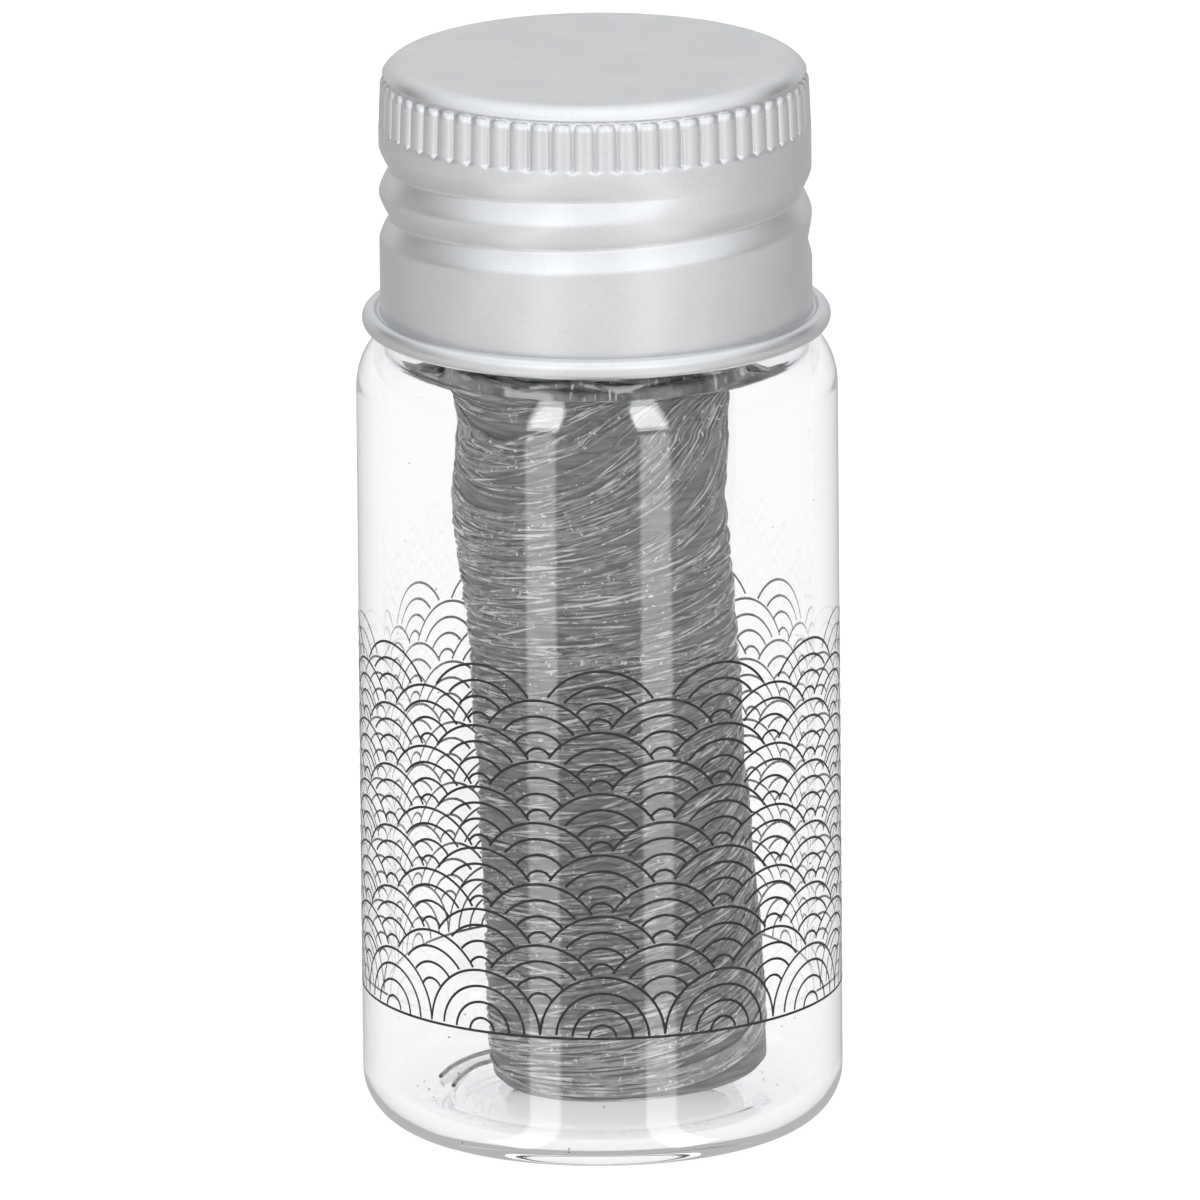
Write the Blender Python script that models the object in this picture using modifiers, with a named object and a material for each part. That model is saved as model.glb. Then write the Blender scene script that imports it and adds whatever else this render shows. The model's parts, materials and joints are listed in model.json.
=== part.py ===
"""Dental floss dispenser: a small vial of tube glass with a rolled aluminium screw cap.

The vial stands on its base with its axis on +Z and the origin at the centre of that base. A package of
waxed floss leans inside it. The floss leaves through the hole of a pressed metal insert that plugs the
neck, and its end lies curled in the insert under the cap. The groove rolled into the cap runs just below
the ridge of the glass thread, so the cap climbs one pitch for each turn.
"""

import math

import bmesh
import bpy
from mathutils import Matrix, Vector

MM = 0.001
FULL_TURN = 2 * math.pi
QUARTER_TURN = math.pi / 2
CREASE_ANGLE = math.radians(35)
MERGE_DISTANCE = 0.01 * MM
LEVEL_TOLERANCE = 0.01 * MM

# Gaps between pieces that rest on each other, or run past each other
SEAT_GAP = 0.2 * MM
THREAD_CLEARANCE = 0.2 * MM
ROLL_CLEARANCE = 0.25 * MM
CUT_OVERRUN = 0.5 * MM

# Vial of drawn tube glass. The neck runs from the shoulder to the rim, and is drawn in from the body so far
# that the cap's bead comes out almost flush with the body.
VIAL_DIAMETER = 22.0 * MM
VIAL_HEIGHT = 47.6 * MM
VIAL_WALL = 1.1 * MM
VIAL_BASE = 1.8 * MM
HEEL_RADIUS = 2.5 * MM
BASE_PUSH_UP = 0.5 * MM
BASE_RING_WIDTH = 1.5 * MM
SHOULDER_DROP = 2.6 * MM
NECK_LENGTH = 10.5 * MM
NECK_INSET = 2.25 * MM
NECK_WALL = 1.35 * MM
NECK_FILLET = 0.25 * MM
RIM_RADIUS = 0.45 * MM
PUSH_UP_EDGE_SHARE = 0.75
VIAL_SEGMENTS = 44
HEEL_STEPS = 4
SHOULDER_STEPS = 4
FILLET_STEPS = 2
RIM_STEPS = 3

# Screw thread, shared by the glass ridge and the groove rolled into the cap. Angles run anticlockwise from
# +X seen from above, and go on past one turn. The shares are of the pitch.
THREAD_PITCH = 2.25 * MM
THREAD_HEIGHT = 0.6 * MM
THREAD_BELOW_RIM = 2.85 * MM
THREAD_ROW_SHARE = 0.2
RIDGE_HALF_WIDTH_SHARE = 0.31
RIDGE_FIRST_ANGLE = math.radians(-330)
RIDGE_LAST_ANGLE = math.radians(215)
RIDGE_FADE_ANGLE = math.radians(30)
ROLL_OFFSET_SHARE = 0.46
ROLL_HALF_WIDTH_SHARE = 0.467
ROLL_POWER = 1.6
ROLL_FIRST_ANGLE = math.radians(-385)
ROLL_LAST_ANGLE = math.radians(312)
ROLL_FADE_ANGLE = math.radians(45)

# Screw cap of thin sheet
CAP_WALL = 0.3 * MM
CAP_CORNER_RADIUS = 1.2 * MM
CAP_CORNER_STEPS = 4
KNURL_COUNT = 60
KNURL_DEPTH = 0.22 * MM
KNURL_BELOW_TOP = 0.5 * MM
KNURL_HEIGHT = 2.5 * MM
KNURL_RUN_OUT = 0.35 * MM
BEAD_INNER_RADIUS = 0.3 * MM
BEAD_LIFT = 0.35 * MM
BEAD_SWEEP = math.radians(285)
BEAD_STEPS = 6

# Cap liner
LINER_THICKNESS = 1.0 * MM
LINER_SEGMENTS = 40

# Dispensing insert of thin sheet. The cutter's window runs from a web beside the floss hole to a margin
# inside the edge of the floor, where the tongue is rooted.
INSERT_SHEET = 0.3 * MM
INSERT_DEPTH = 2.6 * MM
INSERT_BEND_RADIUS = 0.5 * MM
INSERT_BEND_STEPS = 3
INSERT_FLANGE_INSET = 0.25 * MM
INSERT_SEGMENTS = 32
FLOSS_HOLE_DIAMETER = 2.6 * MM
FLOSS_HOLE_SEGMENTS = 20
CUTTER_WEB = 1.0 * MM
CUTTER_ROOT_MARGIN = 1.1 * MM
CUTTER_WIDTH = 1.7 * MM
CUTTER_SLOT = 0.3 * MM
CUTTER_RISE = math.radians(22)

# Floss package: a core of wound floss and its outermost turns, one thread that ends upright on the axis.
# It has play enough in the neck's bore to go in through it.
FLOSS_DIAMETER = 0.5 * MM
PACKAGE_PLAY = 1.15 * MM
PACKAGE_HEADROOM = 4.4 * MM
PACKAGE_FOOT_OFFSET = 1.42 * MM
PACKAGE_CORNER_RADIUS = 0.9 * MM
PACKAGE_CORNER_STEPS = 3
PACKAGE_BORE = 2.4 * MM
PACKAGE_SEGMENTS = 28
TURN_GAP = 0.25 * MM
OUTER_TURNS = 18
POINTS_PER_TURN = 24
TURN_TILT = 1.5 * MM
TILT_FADE_TURNS = 3
TOP_SPIRAL_TURNS = 1.15
LEAD_BEND_RADIUS = 1.0 * MM
LEAD_BEND_STEPS = 6
TURN_SIDES = 1

# The floss end's route, in millimetres: up from the package, through the hole, over in a low hump and once
# round the floor of the insert
FLOSS_END_ROUTE = [
    (-1.09, 0.00, 43.60),
    (-1.10, 0.00, 44.10),
    (-0.97, 0.00, 44.62),
    (-0.70, 0.00, 45.12),
    (-0.40, -0.04, 45.60),
    (0.00, -0.12, 46.00),
    (0.50, -0.28, 46.24),
    (1.10, -0.50, 46.28),
    (1.80, -0.82, 46.14),
    (2.60, -1.22, 46.00),
    (3.45, -1.50, 45.95),
    (4.30, -1.45, 45.95),
    (4.95, -0.90, 45.95),
    (5.28, 0.05, 45.95),
    (5.20, 1.38, 45.95),
    (4.58, 2.85, 45.95),
    (3.48, 4.10, 45.95),
    (2.00, 4.92, 45.95),
    (0.37, 5.24, 45.95),
    (-1.29, 5.12, 45.95),
    (-2.85, 4.52, 45.95),
    (-4.12, 3.43, 45.95),
    (-4.95, 1.95, 45.95),
    (-5.22, 0.30, 45.95),
    (-4.98, -1.35, 45.95),
    (-4.28, -2.80, 45.95),
    (-3.30, -3.82, 45.95),
    (-2.15, -4.50, 45.95),
]
FLOSS_END_STEP = 1.0 * MM
FLOSS_END_SIDES = 2
SPLINE_STEPS = 16

# Colours and finishes
GLASS_COLOUR = (0.93, 0.95, 0.95)
GLASS_ROUGHNESS = 0.02
ALUMINIUM_COLOUR = (0.80, 0.80, 0.81)
ALUMINIUM_ROUGHNESS = 0.34
STEEL_COLOUR = (0.72, 0.72, 0.73)
STEEL_ROUGHNESS = 0.22
FOAM_COLOUR = (0.86, 0.86, 0.84)
FOAM_ROUGHNESS = 0.7
FLOSS_COLOUR = (0.20, 0.21, 0.21)
FLOSS_ROUGHNESS = 0.5

# Sizes and places that follow from those above
VIAL_RADIUS = VIAL_DIAMETER / 2
VIAL_INNER_RADIUS = VIAL_RADIUS - VIAL_WALL
SHOULDER_HEIGHT = VIAL_HEIGHT - NECK_LENGTH
NECK_DIAMETER = VIAL_DIAMETER - 2 * NECK_INSET
NECK_RADIUS = NECK_DIAMETER / 2
NECK_BORE_RADIUS = NECK_RADIUS - NECK_WALL
THREAD_DATUM = VIAL_HEIGHT - THREAD_BELOW_RIM
THREAD_ROW = THREAD_ROW_SHARE * THREAD_PITCH
RIDGE_HALF_WIDTH = RIDGE_HALF_WIDTH_SHARE * THREAD_PITCH
ROLL_DATUM = THREAD_DATUM - ROLL_OFFSET_SHARE * THREAD_PITCH
ROLL_HALF_WIDTH = ROLL_HALF_WIDTH_SHARE * THREAD_PITCH
ROLL_DEPTH = THREAD_HEIGHT + THREAD_CLEARANCE - ROLL_CLEARANCE
INSERT_FLANGE_TOP = VIAL_HEIGHT + SEAT_GAP + INSERT_SHEET
INSERT_FLOOR_TOP = INSERT_FLANGE_TOP - INSERT_DEPTH
INSERT_WALL_RADIUS = NECK_BORE_RADIUS - SEAT_GAP - INSERT_SHEET
INSERT_FLOOR_RADIUS = INSERT_WALL_RADIUS - INSERT_BEND_RADIUS
CUTTER_FROM_CENTRE = FLOSS_HOLE_DIAMETER / 2 + CUTTER_WEB
CUTTER_LENGTH = INSERT_FLOOR_RADIUS - CUTTER_ROOT_MARGIN - CUTTER_SLOT - CUTTER_FROM_CENTRE
LINER_BOTTOM = INSERT_FLANGE_TOP + SEAT_GAP
CAP_TOP = LINER_BOTTOM + LINER_THICKNESS + SEAT_GAP + CAP_WALL
CAP_RADIUS = NECK_RADIUS + THREAD_HEIGHT + THREAD_CLEARANCE + CAP_WALL
KNURL_TOP = CAP_TOP - KNURL_BELOW_TOP
KNURL_BOTTOM = KNURL_TOP - KNURL_HEIGHT
BEAD_HEIGHT = SHOULDER_HEIGHT + BEAD_LIFT + CAP_WALL + BEAD_INNER_RADIUS
LINER_RADIUS = CAP_RADIUS - CAP_CORNER_RADIUS + SEAT_GAP
PACKAGE_RADIUS = NECK_BORE_RADIUS - PACKAGE_PLAY
PACKAGE_LENGTH = INSERT_FLOOR_TOP - INSERT_SHEET - VIAL_BASE - PACKAGE_HEADROOM
PACKAGE_TOP_OFFSET = NECK_BORE_RADIUS - SEAT_GAP - PACKAGE_RADIUS
PACKAGE_LEAN = math.asin((PACKAGE_FOOT_OFFSET + PACKAGE_TOP_OFFSET) / PACKAGE_LENGTH)
FLOSS_RADIUS = FLOSS_DIAMETER / 2
CORE_RADIUS = PACKAGE_RADIUS - FLOSS_DIAMETER - TURN_GAP


def clear_scene():
    for old in list(bpy.data.objects):
        bpy.data.objects.remove(old, do_unlink=True)


def new_collection(name):
    collection = bpy.data.collections.new(name)
    bpy.context.scene.collection.children.link(collection)
    return collection


def finish(name, colour, roughness, metallic=0.0, transmission=0.0):
    """A Principled material."""
    material = bpy.data.materials.new(name)
    material.use_nodes = True
    shader = material.node_tree.nodes["Principled BSDF"]
    shader.inputs["Base Color"].default_value = (*colour, 1.0)
    shader.inputs["Roughness"].default_value = roughness
    shader.inputs["Metallic"].default_value = metallic
    shader.inputs["Transmission Weight"].default_value = transmission
    return material


def place(name, mesh, collection, material, parent=None):
    """Links a mesh or curve to its collection as a named object with its material."""
    piece = bpy.data.objects.new(name, mesh)
    mesh.materials.append(material)
    collection.objects.link(piece)
    piece.parent = parent
    return piece


def arc(centre, across, up, first, last, steps):
    """Points of an arc in the profile plane, as (radius, height) pairs, both ends included.

    The arc is round where its two half axes, across and up, are the same.
    """
    points = []
    for step in range(steps + 1):
        angle = first + (last - first) * step / steps
        points.append((centre[0] + across * math.cos(angle), centre[1] + up * math.sin(angle)))
    return points


def turned(name, profile, segments, collection):
    """A profile turned about Z with a Screw modifier, read back as a plain mesh."""
    outline = bpy.data.meshes.new(name)
    corners = [(radius, 0.0, height) for radius, height in profile]
    outline.from_pydata(corners, [(i, i + 1) for i in range(len(corners) - 1)], [])
    helper = bpy.data.objects.new(name, outline)
    collection.objects.link(helper)
    screw = helper.modifiers.new("turn", "SCREW")
    screw.steps = screw.render_steps = segments
    screw.use_merge_vertices = True
    screw.merge_threshold = MERGE_DISTANCE
    screw.use_smooth_shade = True
    made = bpy.data.meshes.new_from_object(
        helper.evaluated_get(bpy.context.evaluated_depsgraph_get())
    )
    bpy.data.objects.remove(helper)
    made.name = name
    return made


def shade(mesh):
    mesh.shade_smooth()
    mesh.set_sharp_from_angle(angle=CREASE_ANGLE)


def rows_between(top, bottom, spacing):
    """Heights from top to bottom, at most the given spacing apart."""
    count = max(1, math.ceil((top - bottom) / spacing))
    return [top + (bottom - top) * i / count for i in range(count + 1)]


def on_helix(angle, height, datum, first, last, fade, half_width):
    """How near a point lies to a helical line, from 1 on the line to 0 at half_width from it.

    The line is at datum where its angle is zero, and it fades in and out over the fade angle at its ends.
    """
    nearest = 0.0
    turn = math.ceil((first - angle) / FULL_TURN)
    while angle + turn * FULL_TURN <= last:
        along = angle + turn * FULL_TURN
        away = abs(height - datum - THREAD_PITCH * along / FULL_TURN)
        strength = min(1.0, (along - first) / fade, (last - along) / fade)
        nearest = max(nearest, strength * max(0.0, 1 - away / half_width))
        turn += 1
    return nearest


def move_radially(vertex, distance):
    radius = math.hypot(vertex.co.x, vertex.co.y)
    scale = (radius + distance) / radius
    vertex.co.x *= scale
    vertex.co.y *= scale


def vial_profile():
    """The closed outline of the glass wall: from the rim down the outside, and back up the inside."""
    ring_outer = VIAL_RADIUS - HEEL_RADIUS
    ring_inner = ring_outer - BASE_RING_WIDTH
    neck_foot = NECK_RADIUS + NECK_FILLET
    bore_foot = NECK_BORE_RADIUS + NECK_FILLET
    inner_heel = HEEL_RADIUS - VIAL_WALL / 2
    inner_drop = SHOULDER_DROP - VIAL_WALL / 2
    inner_shoulder = SHOULDER_HEIGHT - VIAL_WALL
    rim_centre = VIAL_HEIGHT - RIM_RADIUS
    ridge_bottom = THREAD_DATUM + THREAD_PITCH * RIDGE_FIRST_ANGLE / FULL_TURN - RIDGE_HALF_WIDTH
    half_turn = 2 * QUARTER_TURN
    outside = arc(
        (NECK_RADIUS - RIM_RADIUS, rim_centre), RIM_RADIUS, RIM_RADIUS, QUARTER_TURN, 0.0, RIM_STEPS
    )
    outside += [(NECK_RADIUS, z) for z in rows_between(rim_centre - THREAD_ROW, ridge_bottom, THREAD_ROW)]
    outside += arc(
        (neck_foot, SHOULDER_HEIGHT + NECK_FILLET),
        NECK_FILLET,
        NECK_FILLET,
        half_turn,
        half_turn + QUARTER_TURN,
        FILLET_STEPS,
    )
    outside += arc(
        (neck_foot, SHOULDER_HEIGHT - SHOULDER_DROP),
        VIAL_RADIUS - neck_foot,
        SHOULDER_DROP,
        QUARTER_TURN,
        0.0,
        SHOULDER_STEPS,
    )[1:]
    outside += arc((ring_outer, HEEL_RADIUS), HEEL_RADIUS, HEEL_RADIUS, 0.0, -QUARTER_TURN, HEEL_STEPS)
    outside += [
        (ring_inner, 0.0),
        (ring_inner - BASE_PUSH_UP, BASE_PUSH_UP * PUSH_UP_EDGE_SHARE),
        (0.0, BASE_PUSH_UP),
    ]
    inside = [(0.0, VIAL_BASE)]
    inside += arc(
        (VIAL_INNER_RADIUS - inner_heel, VIAL_BASE + inner_heel),
        inner_heel,
        inner_heel,
        -QUARTER_TURN,
        0.0,
        HEEL_STEPS,
    )
    inside += arc(
        (bore_foot, inner_shoulder - inner_drop),
        VIAL_INNER_RADIUS - bore_foot,
        inner_drop,
        0.0,
        QUARTER_TURN,
        SHOULDER_STEPS,
    )
    inside += arc(
        (bore_foot, inner_shoulder + NECK_FILLET),
        NECK_FILLET,
        NECK_FILLET,
        half_turn + QUARTER_TURN,
        half_turn,
        FILLET_STEPS,
    )[1:]
    inside += arc(
        (NECK_BORE_RADIUS + RIM_RADIUS, rim_centre),
        RIM_RADIUS,
        RIM_RADIUS,
        half_turn,
        QUARTER_TURN,
        RIM_STEPS,
    )
    return outside + inside + outside[:1]


def make_vial(collection):
    """The vial, with its thread ridge raised on the outside of the neck."""
    glass = finish("clear_glass", GLASS_COLOUR, GLASS_ROUGHNESS, transmission=1.0)
    mesh = turned("glass_vial", vial_profile(), VIAL_SEGMENTS, collection)
    for vertex in mesh.vertices:
        radius = math.hypot(vertex.co.x, vertex.co.y)
        if vertex.co.z < SHOULDER_HEIGHT + NECK_FILLET or radius < NECK_RADIUS - LEVEL_TOLERANCE:
            continue
        near = on_helix(
            math.atan2(vertex.co.y, vertex.co.x),
            vertex.co.z,
            THREAD_DATUM,
            RIDGE_FIRST_ANGLE,
            RIDGE_LAST_ANGLE,
            RIDGE_FADE_ANGLE,
            RIDGE_HALF_WIDTH,
        )
        move_radially(vertex, THREAD_HEIGHT * math.sin(near * QUARTER_TURN) ** 2)
    shade(mesh)
    return place("glass_vial", mesh, collection, glass)


def cap_profile():
    """The outer face of the cap, from the centre of the top down to the end of the curled bead."""
    roll_top = ROLL_DATUM + THREAD_PITCH * ROLL_LAST_ANGLE / FULL_TURN + ROLL_HALF_WIDTH
    roll_bottom = ROLL_DATUM + THREAD_PITCH * ROLL_FIRST_ANGLE / FULL_TURN - ROLL_HALF_WIDTH / 2
    profile = [(0.0, CAP_TOP)]
    profile += arc(
        (CAP_RADIUS - CAP_CORNER_RADIUS, CAP_TOP - CAP_CORNER_RADIUS),
        CAP_CORNER_RADIUS,
        CAP_CORNER_RADIUS,
        QUARTER_TURN,
        0.0,
        CAP_CORNER_STEPS,
    )
    profile += [(CAP_RADIUS, KNURL_BOTTOM + KNURL_RUN_OUT), (CAP_RADIUS, KNURL_BOTTOM)]
    roll_top = min(roll_top, KNURL_BOTTOM - KNURL_RUN_OUT)
    profile += [(CAP_RADIUS, z) for z in rows_between(roll_top, roll_bottom, THREAD_ROW)]
    profile += arc(
        (CAP_RADIUS + BEAD_INNER_RADIUS, BEAD_HEIGHT),
        BEAD_INNER_RADIUS,
        BEAD_INNER_RADIUS,
        math.pi,
        math.pi + BEAD_SWEEP,
        BEAD_STEPS,
    )
    return profile


def press_knurl(mesh):
    """Splits each step round the knurled band in two and pushes the new points in, which leaves ribs."""
    shaped = bmesh.new()
    shaped.from_mesh(mesh)
    ring_edges = []
    for edge in shaped.edges:
        first, last = (vertex.co.z for vertex in edge.verts)
        in_band = KNURL_BOTTOM + LEVEL_TOLERANCE < first < KNURL_TOP
        if in_band and abs(first - last) < LEVEL_TOLERANCE:
            ring_edges.append(edge)
    split = bmesh.ops.subdivide_edges(shaped, edges=ring_edges, cuts=1)
    for element in split["geom_inner"]:
        if isinstance(element, bmesh.types.BMVert):
            move_radially(element, -KNURL_DEPTH)
    shaped.to_mesh(mesh)
    shaped.free()


def roll_thread(mesh):
    """Rolls the helical groove into the cap's wall."""
    for vertex in mesh.vertices:
        if not BEAD_HEIGHT + BEAD_INNER_RADIUS < vertex.co.z < KNURL_BOTTOM - LEVEL_TOLERANCE:
            continue
        near = on_helix(
            math.atan2(vertex.co.y, vertex.co.x),
            vertex.co.z,
            ROLL_DATUM,
            ROLL_FIRST_ANGLE,
            ROLL_LAST_ANGLE,
            ROLL_FADE_ANGLE,
            ROLL_HALF_WIDTH,
        )
        move_radially(vertex, -ROLL_DEPTH * near**ROLL_POWER)


def thicken(piece, thickness):
    """Gives a sheet its thickness, inwards from the face that is drawn."""
    sheet = piece.modifiers.new("sheet", "SOLIDIFY")
    sheet.thickness = thickness
    sheet.offset = -1.0


def make_cap(collection):
    """The cap: one drawn and rolled sheet, with a knurled grip, a rolled thread and a curled edge."""
    aluminium = finish("satin_aluminium", ALUMINIUM_COLOUR, ALUMINIUM_ROUGHNESS, metallic=1.0)
    mesh = turned("screw_cap", cap_profile(), KNURL_COUNT, collection)
    press_knurl(mesh)
    roll_thread(mesh)
    shade(mesh)
    cap = place("screw_cap", mesh, collection, aluminium)
    thicken(cap, CAP_WALL)
    return cap


def disc_mesh(name, radius, depth, segments):
    disc = bmesh.new()
    bmesh.ops.create_cone(
        disc, cap_ends=True, segments=segments, radius1=radius, radius2=radius, depth=depth
    )
    mesh = bpy.data.meshes.new(name)
    disc.to_mesh(mesh)
    disc.free()
    return mesh


def make_liner(collection):
    """The soft disc under the cap's top that seals on the insert's flange."""
    foam = finish("white_foam", FOAM_COLOUR, FOAM_ROUGHNESS)
    mesh = disc_mesh("cap_liner", LINER_RADIUS, LINER_THICKNESS, LINER_SEGMENTS)
    shade(mesh)
    liner = place("cap_liner", mesh, collection, foam)
    liner.location.z = LINER_BOTTOM + LINER_THICKNESS / 2
    return liner


def insert_profile():
    """The upper face of the insert, from the middle of its floor out to the edge of its flange."""
    bend = INSERT_BEND_RADIUS
    profile = [(0.0, INSERT_FLOOR_TOP)]
    profile += arc(
        (INSERT_FLOOR_RADIUS, INSERT_FLOOR_TOP + bend), bend, bend, -QUARTER_TURN, 0.0, INSERT_BEND_STEPS
    )
    profile += arc(
        (INSERT_WALL_RADIUS + bend, INSERT_FLANGE_TOP - bend),
        bend,
        bend,
        math.pi,
        QUARTER_TURN,
        INSERT_BEND_STEPS,
    )
    profile.append((NECK_RADIUS - INSERT_FLANGE_INSET, INSERT_FLANGE_TOP))
    return profile


def cutter(name, mesh, collection):
    """A helper solid that a Boolean uses and that isn't part of the object."""
    helper = bpy.data.objects.new(name, mesh)
    collection.objects.link(helper)
    helper.hide_render = True
    helper.display_type = "WIRE"
    return helper


def box_mesh(name, width, length, height):
    box = bmesh.new()
    bmesh.ops.create_cube(box, size=1.0)
    bmesh.ops.scale(box, vec=(width, length, height), verts=box.verts)
    mesh = bpy.data.meshes.new(name)
    box.to_mesh(mesh)
    box.free()
    return mesh


def make_insert(collection, cutters):
    """The pressed metal plug in the neck, with the floss hole and a lanced tongue that cuts the floss."""
    steel = finish("bright_steel", STEEL_COLOUR, STEEL_ROUGHNESS, metallic=1.0)
    mesh = turned("dispensing_insert", insert_profile(), INSERT_SEGMENTS, collection)
    shade(mesh)
    insert = place("dispensing_insert", mesh, collection, steel)
    thicken(insert, INSERT_SHEET)
    floor_middle = INSERT_FLOOR_TOP - INSERT_SHEET / 2
    through = INSERT_SHEET + 2 * CUT_OVERRUN

    hole_mesh = disc_mesh("floss_hole", FLOSS_HOLE_DIAMETER / 2, through, FLOSS_HOLE_SEGMENTS)
    hole = cutter("floss_hole", hole_mesh, cutters)
    hole.location.z = floor_middle

    window_length = CUTTER_LENGTH + CUTTER_SLOT
    window_mesh = box_mesh("cutter_window", CUTTER_WIDTH + 2 * CUTTER_SLOT, window_length, through)
    window = cutter("cutter_window", window_mesh, cutters)
    window.location = (0.0, -CUTTER_FROM_CENTRE - window_length / 2, floor_middle)

    tongue_length = CUTTER_LENGTH + INSERT_SHEET
    tongue_mesh = box_mesh("cutter_tongue", CUTTER_WIDTH, tongue_length, INSERT_SHEET)
    tongue_mesh.transform(Matrix.Translation((0.0, tongue_length / 2, 0.0)))
    tongue = cutter("cutter_tongue", tongue_mesh, cutters)
    tongue.location = (0.0, -CUTTER_FROM_CENTRE - window_length - INSERT_SHEET, floor_middle)
    tongue.rotation_euler.x = CUTTER_RISE

    for helper, operation in ((hole, "DIFFERENCE"), (window, "DIFFERENCE"), (tongue, "UNION")):
        boolean = insert.modifiers.new(helper.name, "BOOLEAN")
        boolean.operation = operation
        boolean.object = helper
    return insert


def make_package_axis(collection):
    """An empty at the middle of the package's foot, leaning with it. Its Z is the axis that it turns on."""
    axis = bpy.data.objects.new("package_axis", None)
    collection.objects.link(axis)
    lowest_edge = PACKAGE_RADIUS * math.sin(PACKAGE_LEAN)
    axis.location = (PACKAGE_FOOT_OFFSET, 0.0, VIAL_BASE + SEAT_GAP + lowest_edge)
    axis.rotation_euler.y = -PACKAGE_LEAN
    return axis


def make_core(collection, axis, floss):
    """The wound mass of floss, with the small bore that its winding spindle left."""
    bore = PACKAGE_BORE / 2
    corner = PACKAGE_CORNER_RADIUS
    corner_centre = CORE_RADIUS - corner
    profile = [(bore, PACKAGE_LENGTH)]
    profile += arc(
        (corner_centre, PACKAGE_LENGTH - corner), corner, corner, QUARTER_TURN, 0.0, PACKAGE_CORNER_STEPS
    )
    profile += arc((corner_centre, corner), corner, corner, 0.0, -QUARTER_TURN, PACKAGE_CORNER_STEPS)
    profile += [(bore, 0.0), (bore, PACKAGE_LENGTH)]
    mesh = turned("floss_package", profile, PACKAGE_SEGMENTS, collection)
    shade(mesh)
    return place("floss_package", mesh, collection, floss, axis)


def on_circle(radius, angle, height):
    return Vector((radius * math.cos(angle), radius * math.sin(angle), height))


def side_turns(side_radius):
    """The turns up the side. Each leans across the package, less so near the two ends."""
    bottom = PACKAGE_CORNER_RADIUS
    rise = PACKAGE_LENGTH - PACKAGE_CORNER_RADIUS - bottom
    count = OUTER_TURNS * POINTS_PER_TURN
    points = []
    for i in range(count + 1):
        turn = i / POINTS_PER_TURN
        angle = turn * FULL_TURN
        tilt = TURN_TILT * min(1.0, turn / TILT_FADE_TURNS, (OUTER_TURNS - turn) / TILT_FADE_TURNS)
        height = bottom + rise * i / count + tilt * math.cos(angle)
        points.append(on_circle(side_radius, angle, height))
    return points


def top_spiral(side_radius, corner):
    """The thread's way over the top corner and in towards the axis."""
    side_top = PACKAGE_LENGTH - PACKAGE_CORNER_RADIUS
    bend_length = corner * QUARTER_TURN
    spiral_length = bend_length + side_radius - corner - LEAD_BEND_RADIUS
    count = round(TOP_SPIRAL_TURNS * POINTS_PER_TURN)
    points = []
    for i in range(1, count + 1):
        angle = i * FULL_TURN / POINTS_PER_TURN
        along = spiral_length * i / count
        tilt = min(along / corner, QUARTER_TURN)
        radius = side_radius - corner * (1 - math.cos(tilt)) - max(0.0, along - bend_length)
        points.append(on_circle(radius, angle, side_top + corner * math.sin(tilt)))
    return points


def winding_route():
    """The outermost turns: up the side, over the top corner, in to the axis and upright along it."""
    offset = TURN_GAP + FLOSS_RADIUS
    side_radius = CORE_RADIUS + offset
    points = side_turns(side_radius)
    points += top_spiral(side_radius, PACKAGE_CORNER_RADIUS + offset)
    bend_start = points[-1]
    inwards = Vector((-bend_start.x, -bend_start.y, 0.0)).normalized()
    for i in range(1, LEAD_BEND_STEPS + 1):
        tilt = QUARTER_TURN * i / LEAD_BEND_STEPS
        rise = Vector((0.0, 0.0, LEAD_BEND_RADIUS * (1 - math.cos(tilt))))
        points.append(bend_start + inwards * LEAD_BEND_RADIUS * math.sin(tilt) + rise)
    points.append(points[-1] + Vector((0.0, 0.0, FLOSS_DIAMETER)))
    return points


def least_gap(points, diameter):
    """The smallest clear distance between stretches of one tube that aren't neighbours along it."""
    skip = POINTS_PER_TURN // 2
    least = None
    for i, point in enumerate(points):
        for other in points[i + skip :]:
            distance = (point - other).length
            if least is None or distance < least:
                least = distance
    return least - diameter


def tube(name, points, radius, sides_resolution, collection, material, parent=None):
    """A curve with a round bevel and filled caps that runs through the points."""
    curve = bpy.data.curves.new(name, "CURVE")
    curve.dimensions = "3D"
    curve.bevel_depth = radius
    curve.bevel_resolution = sides_resolution
    curve.use_fill_caps = True
    line = curve.splines.new("POLY")
    line.points.add(len(points) - 1)
    for knot, point in zip(line.points, points):
        knot.co = (*point, 1.0)
    return place(name, curve, collection, material, parent)


def make_outer_turns(collection, axis, floss):
    points = winding_route()
    print(f"outer turns: least gap {least_gap(points, FLOSS_DIAMETER) / MM:.2f} mm")
    return tube("floss_outer_turns", points, FLOSS_RADIUS, TURN_SIDES, collection, floss, axis)


def spline_point(a, b, c, d, t):
    """A point between b and c, at t from 0 to 1, on the smooth curve through all four."""
    start = 2 * b
    slope = (c - a) * t
    curve = (2 * a - 5 * b + 4 * c - d) * t**2
    ease = (3 * b - a - 3 * c + d) * t**3
    return (start + slope + curve + ease) / 2


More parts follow.
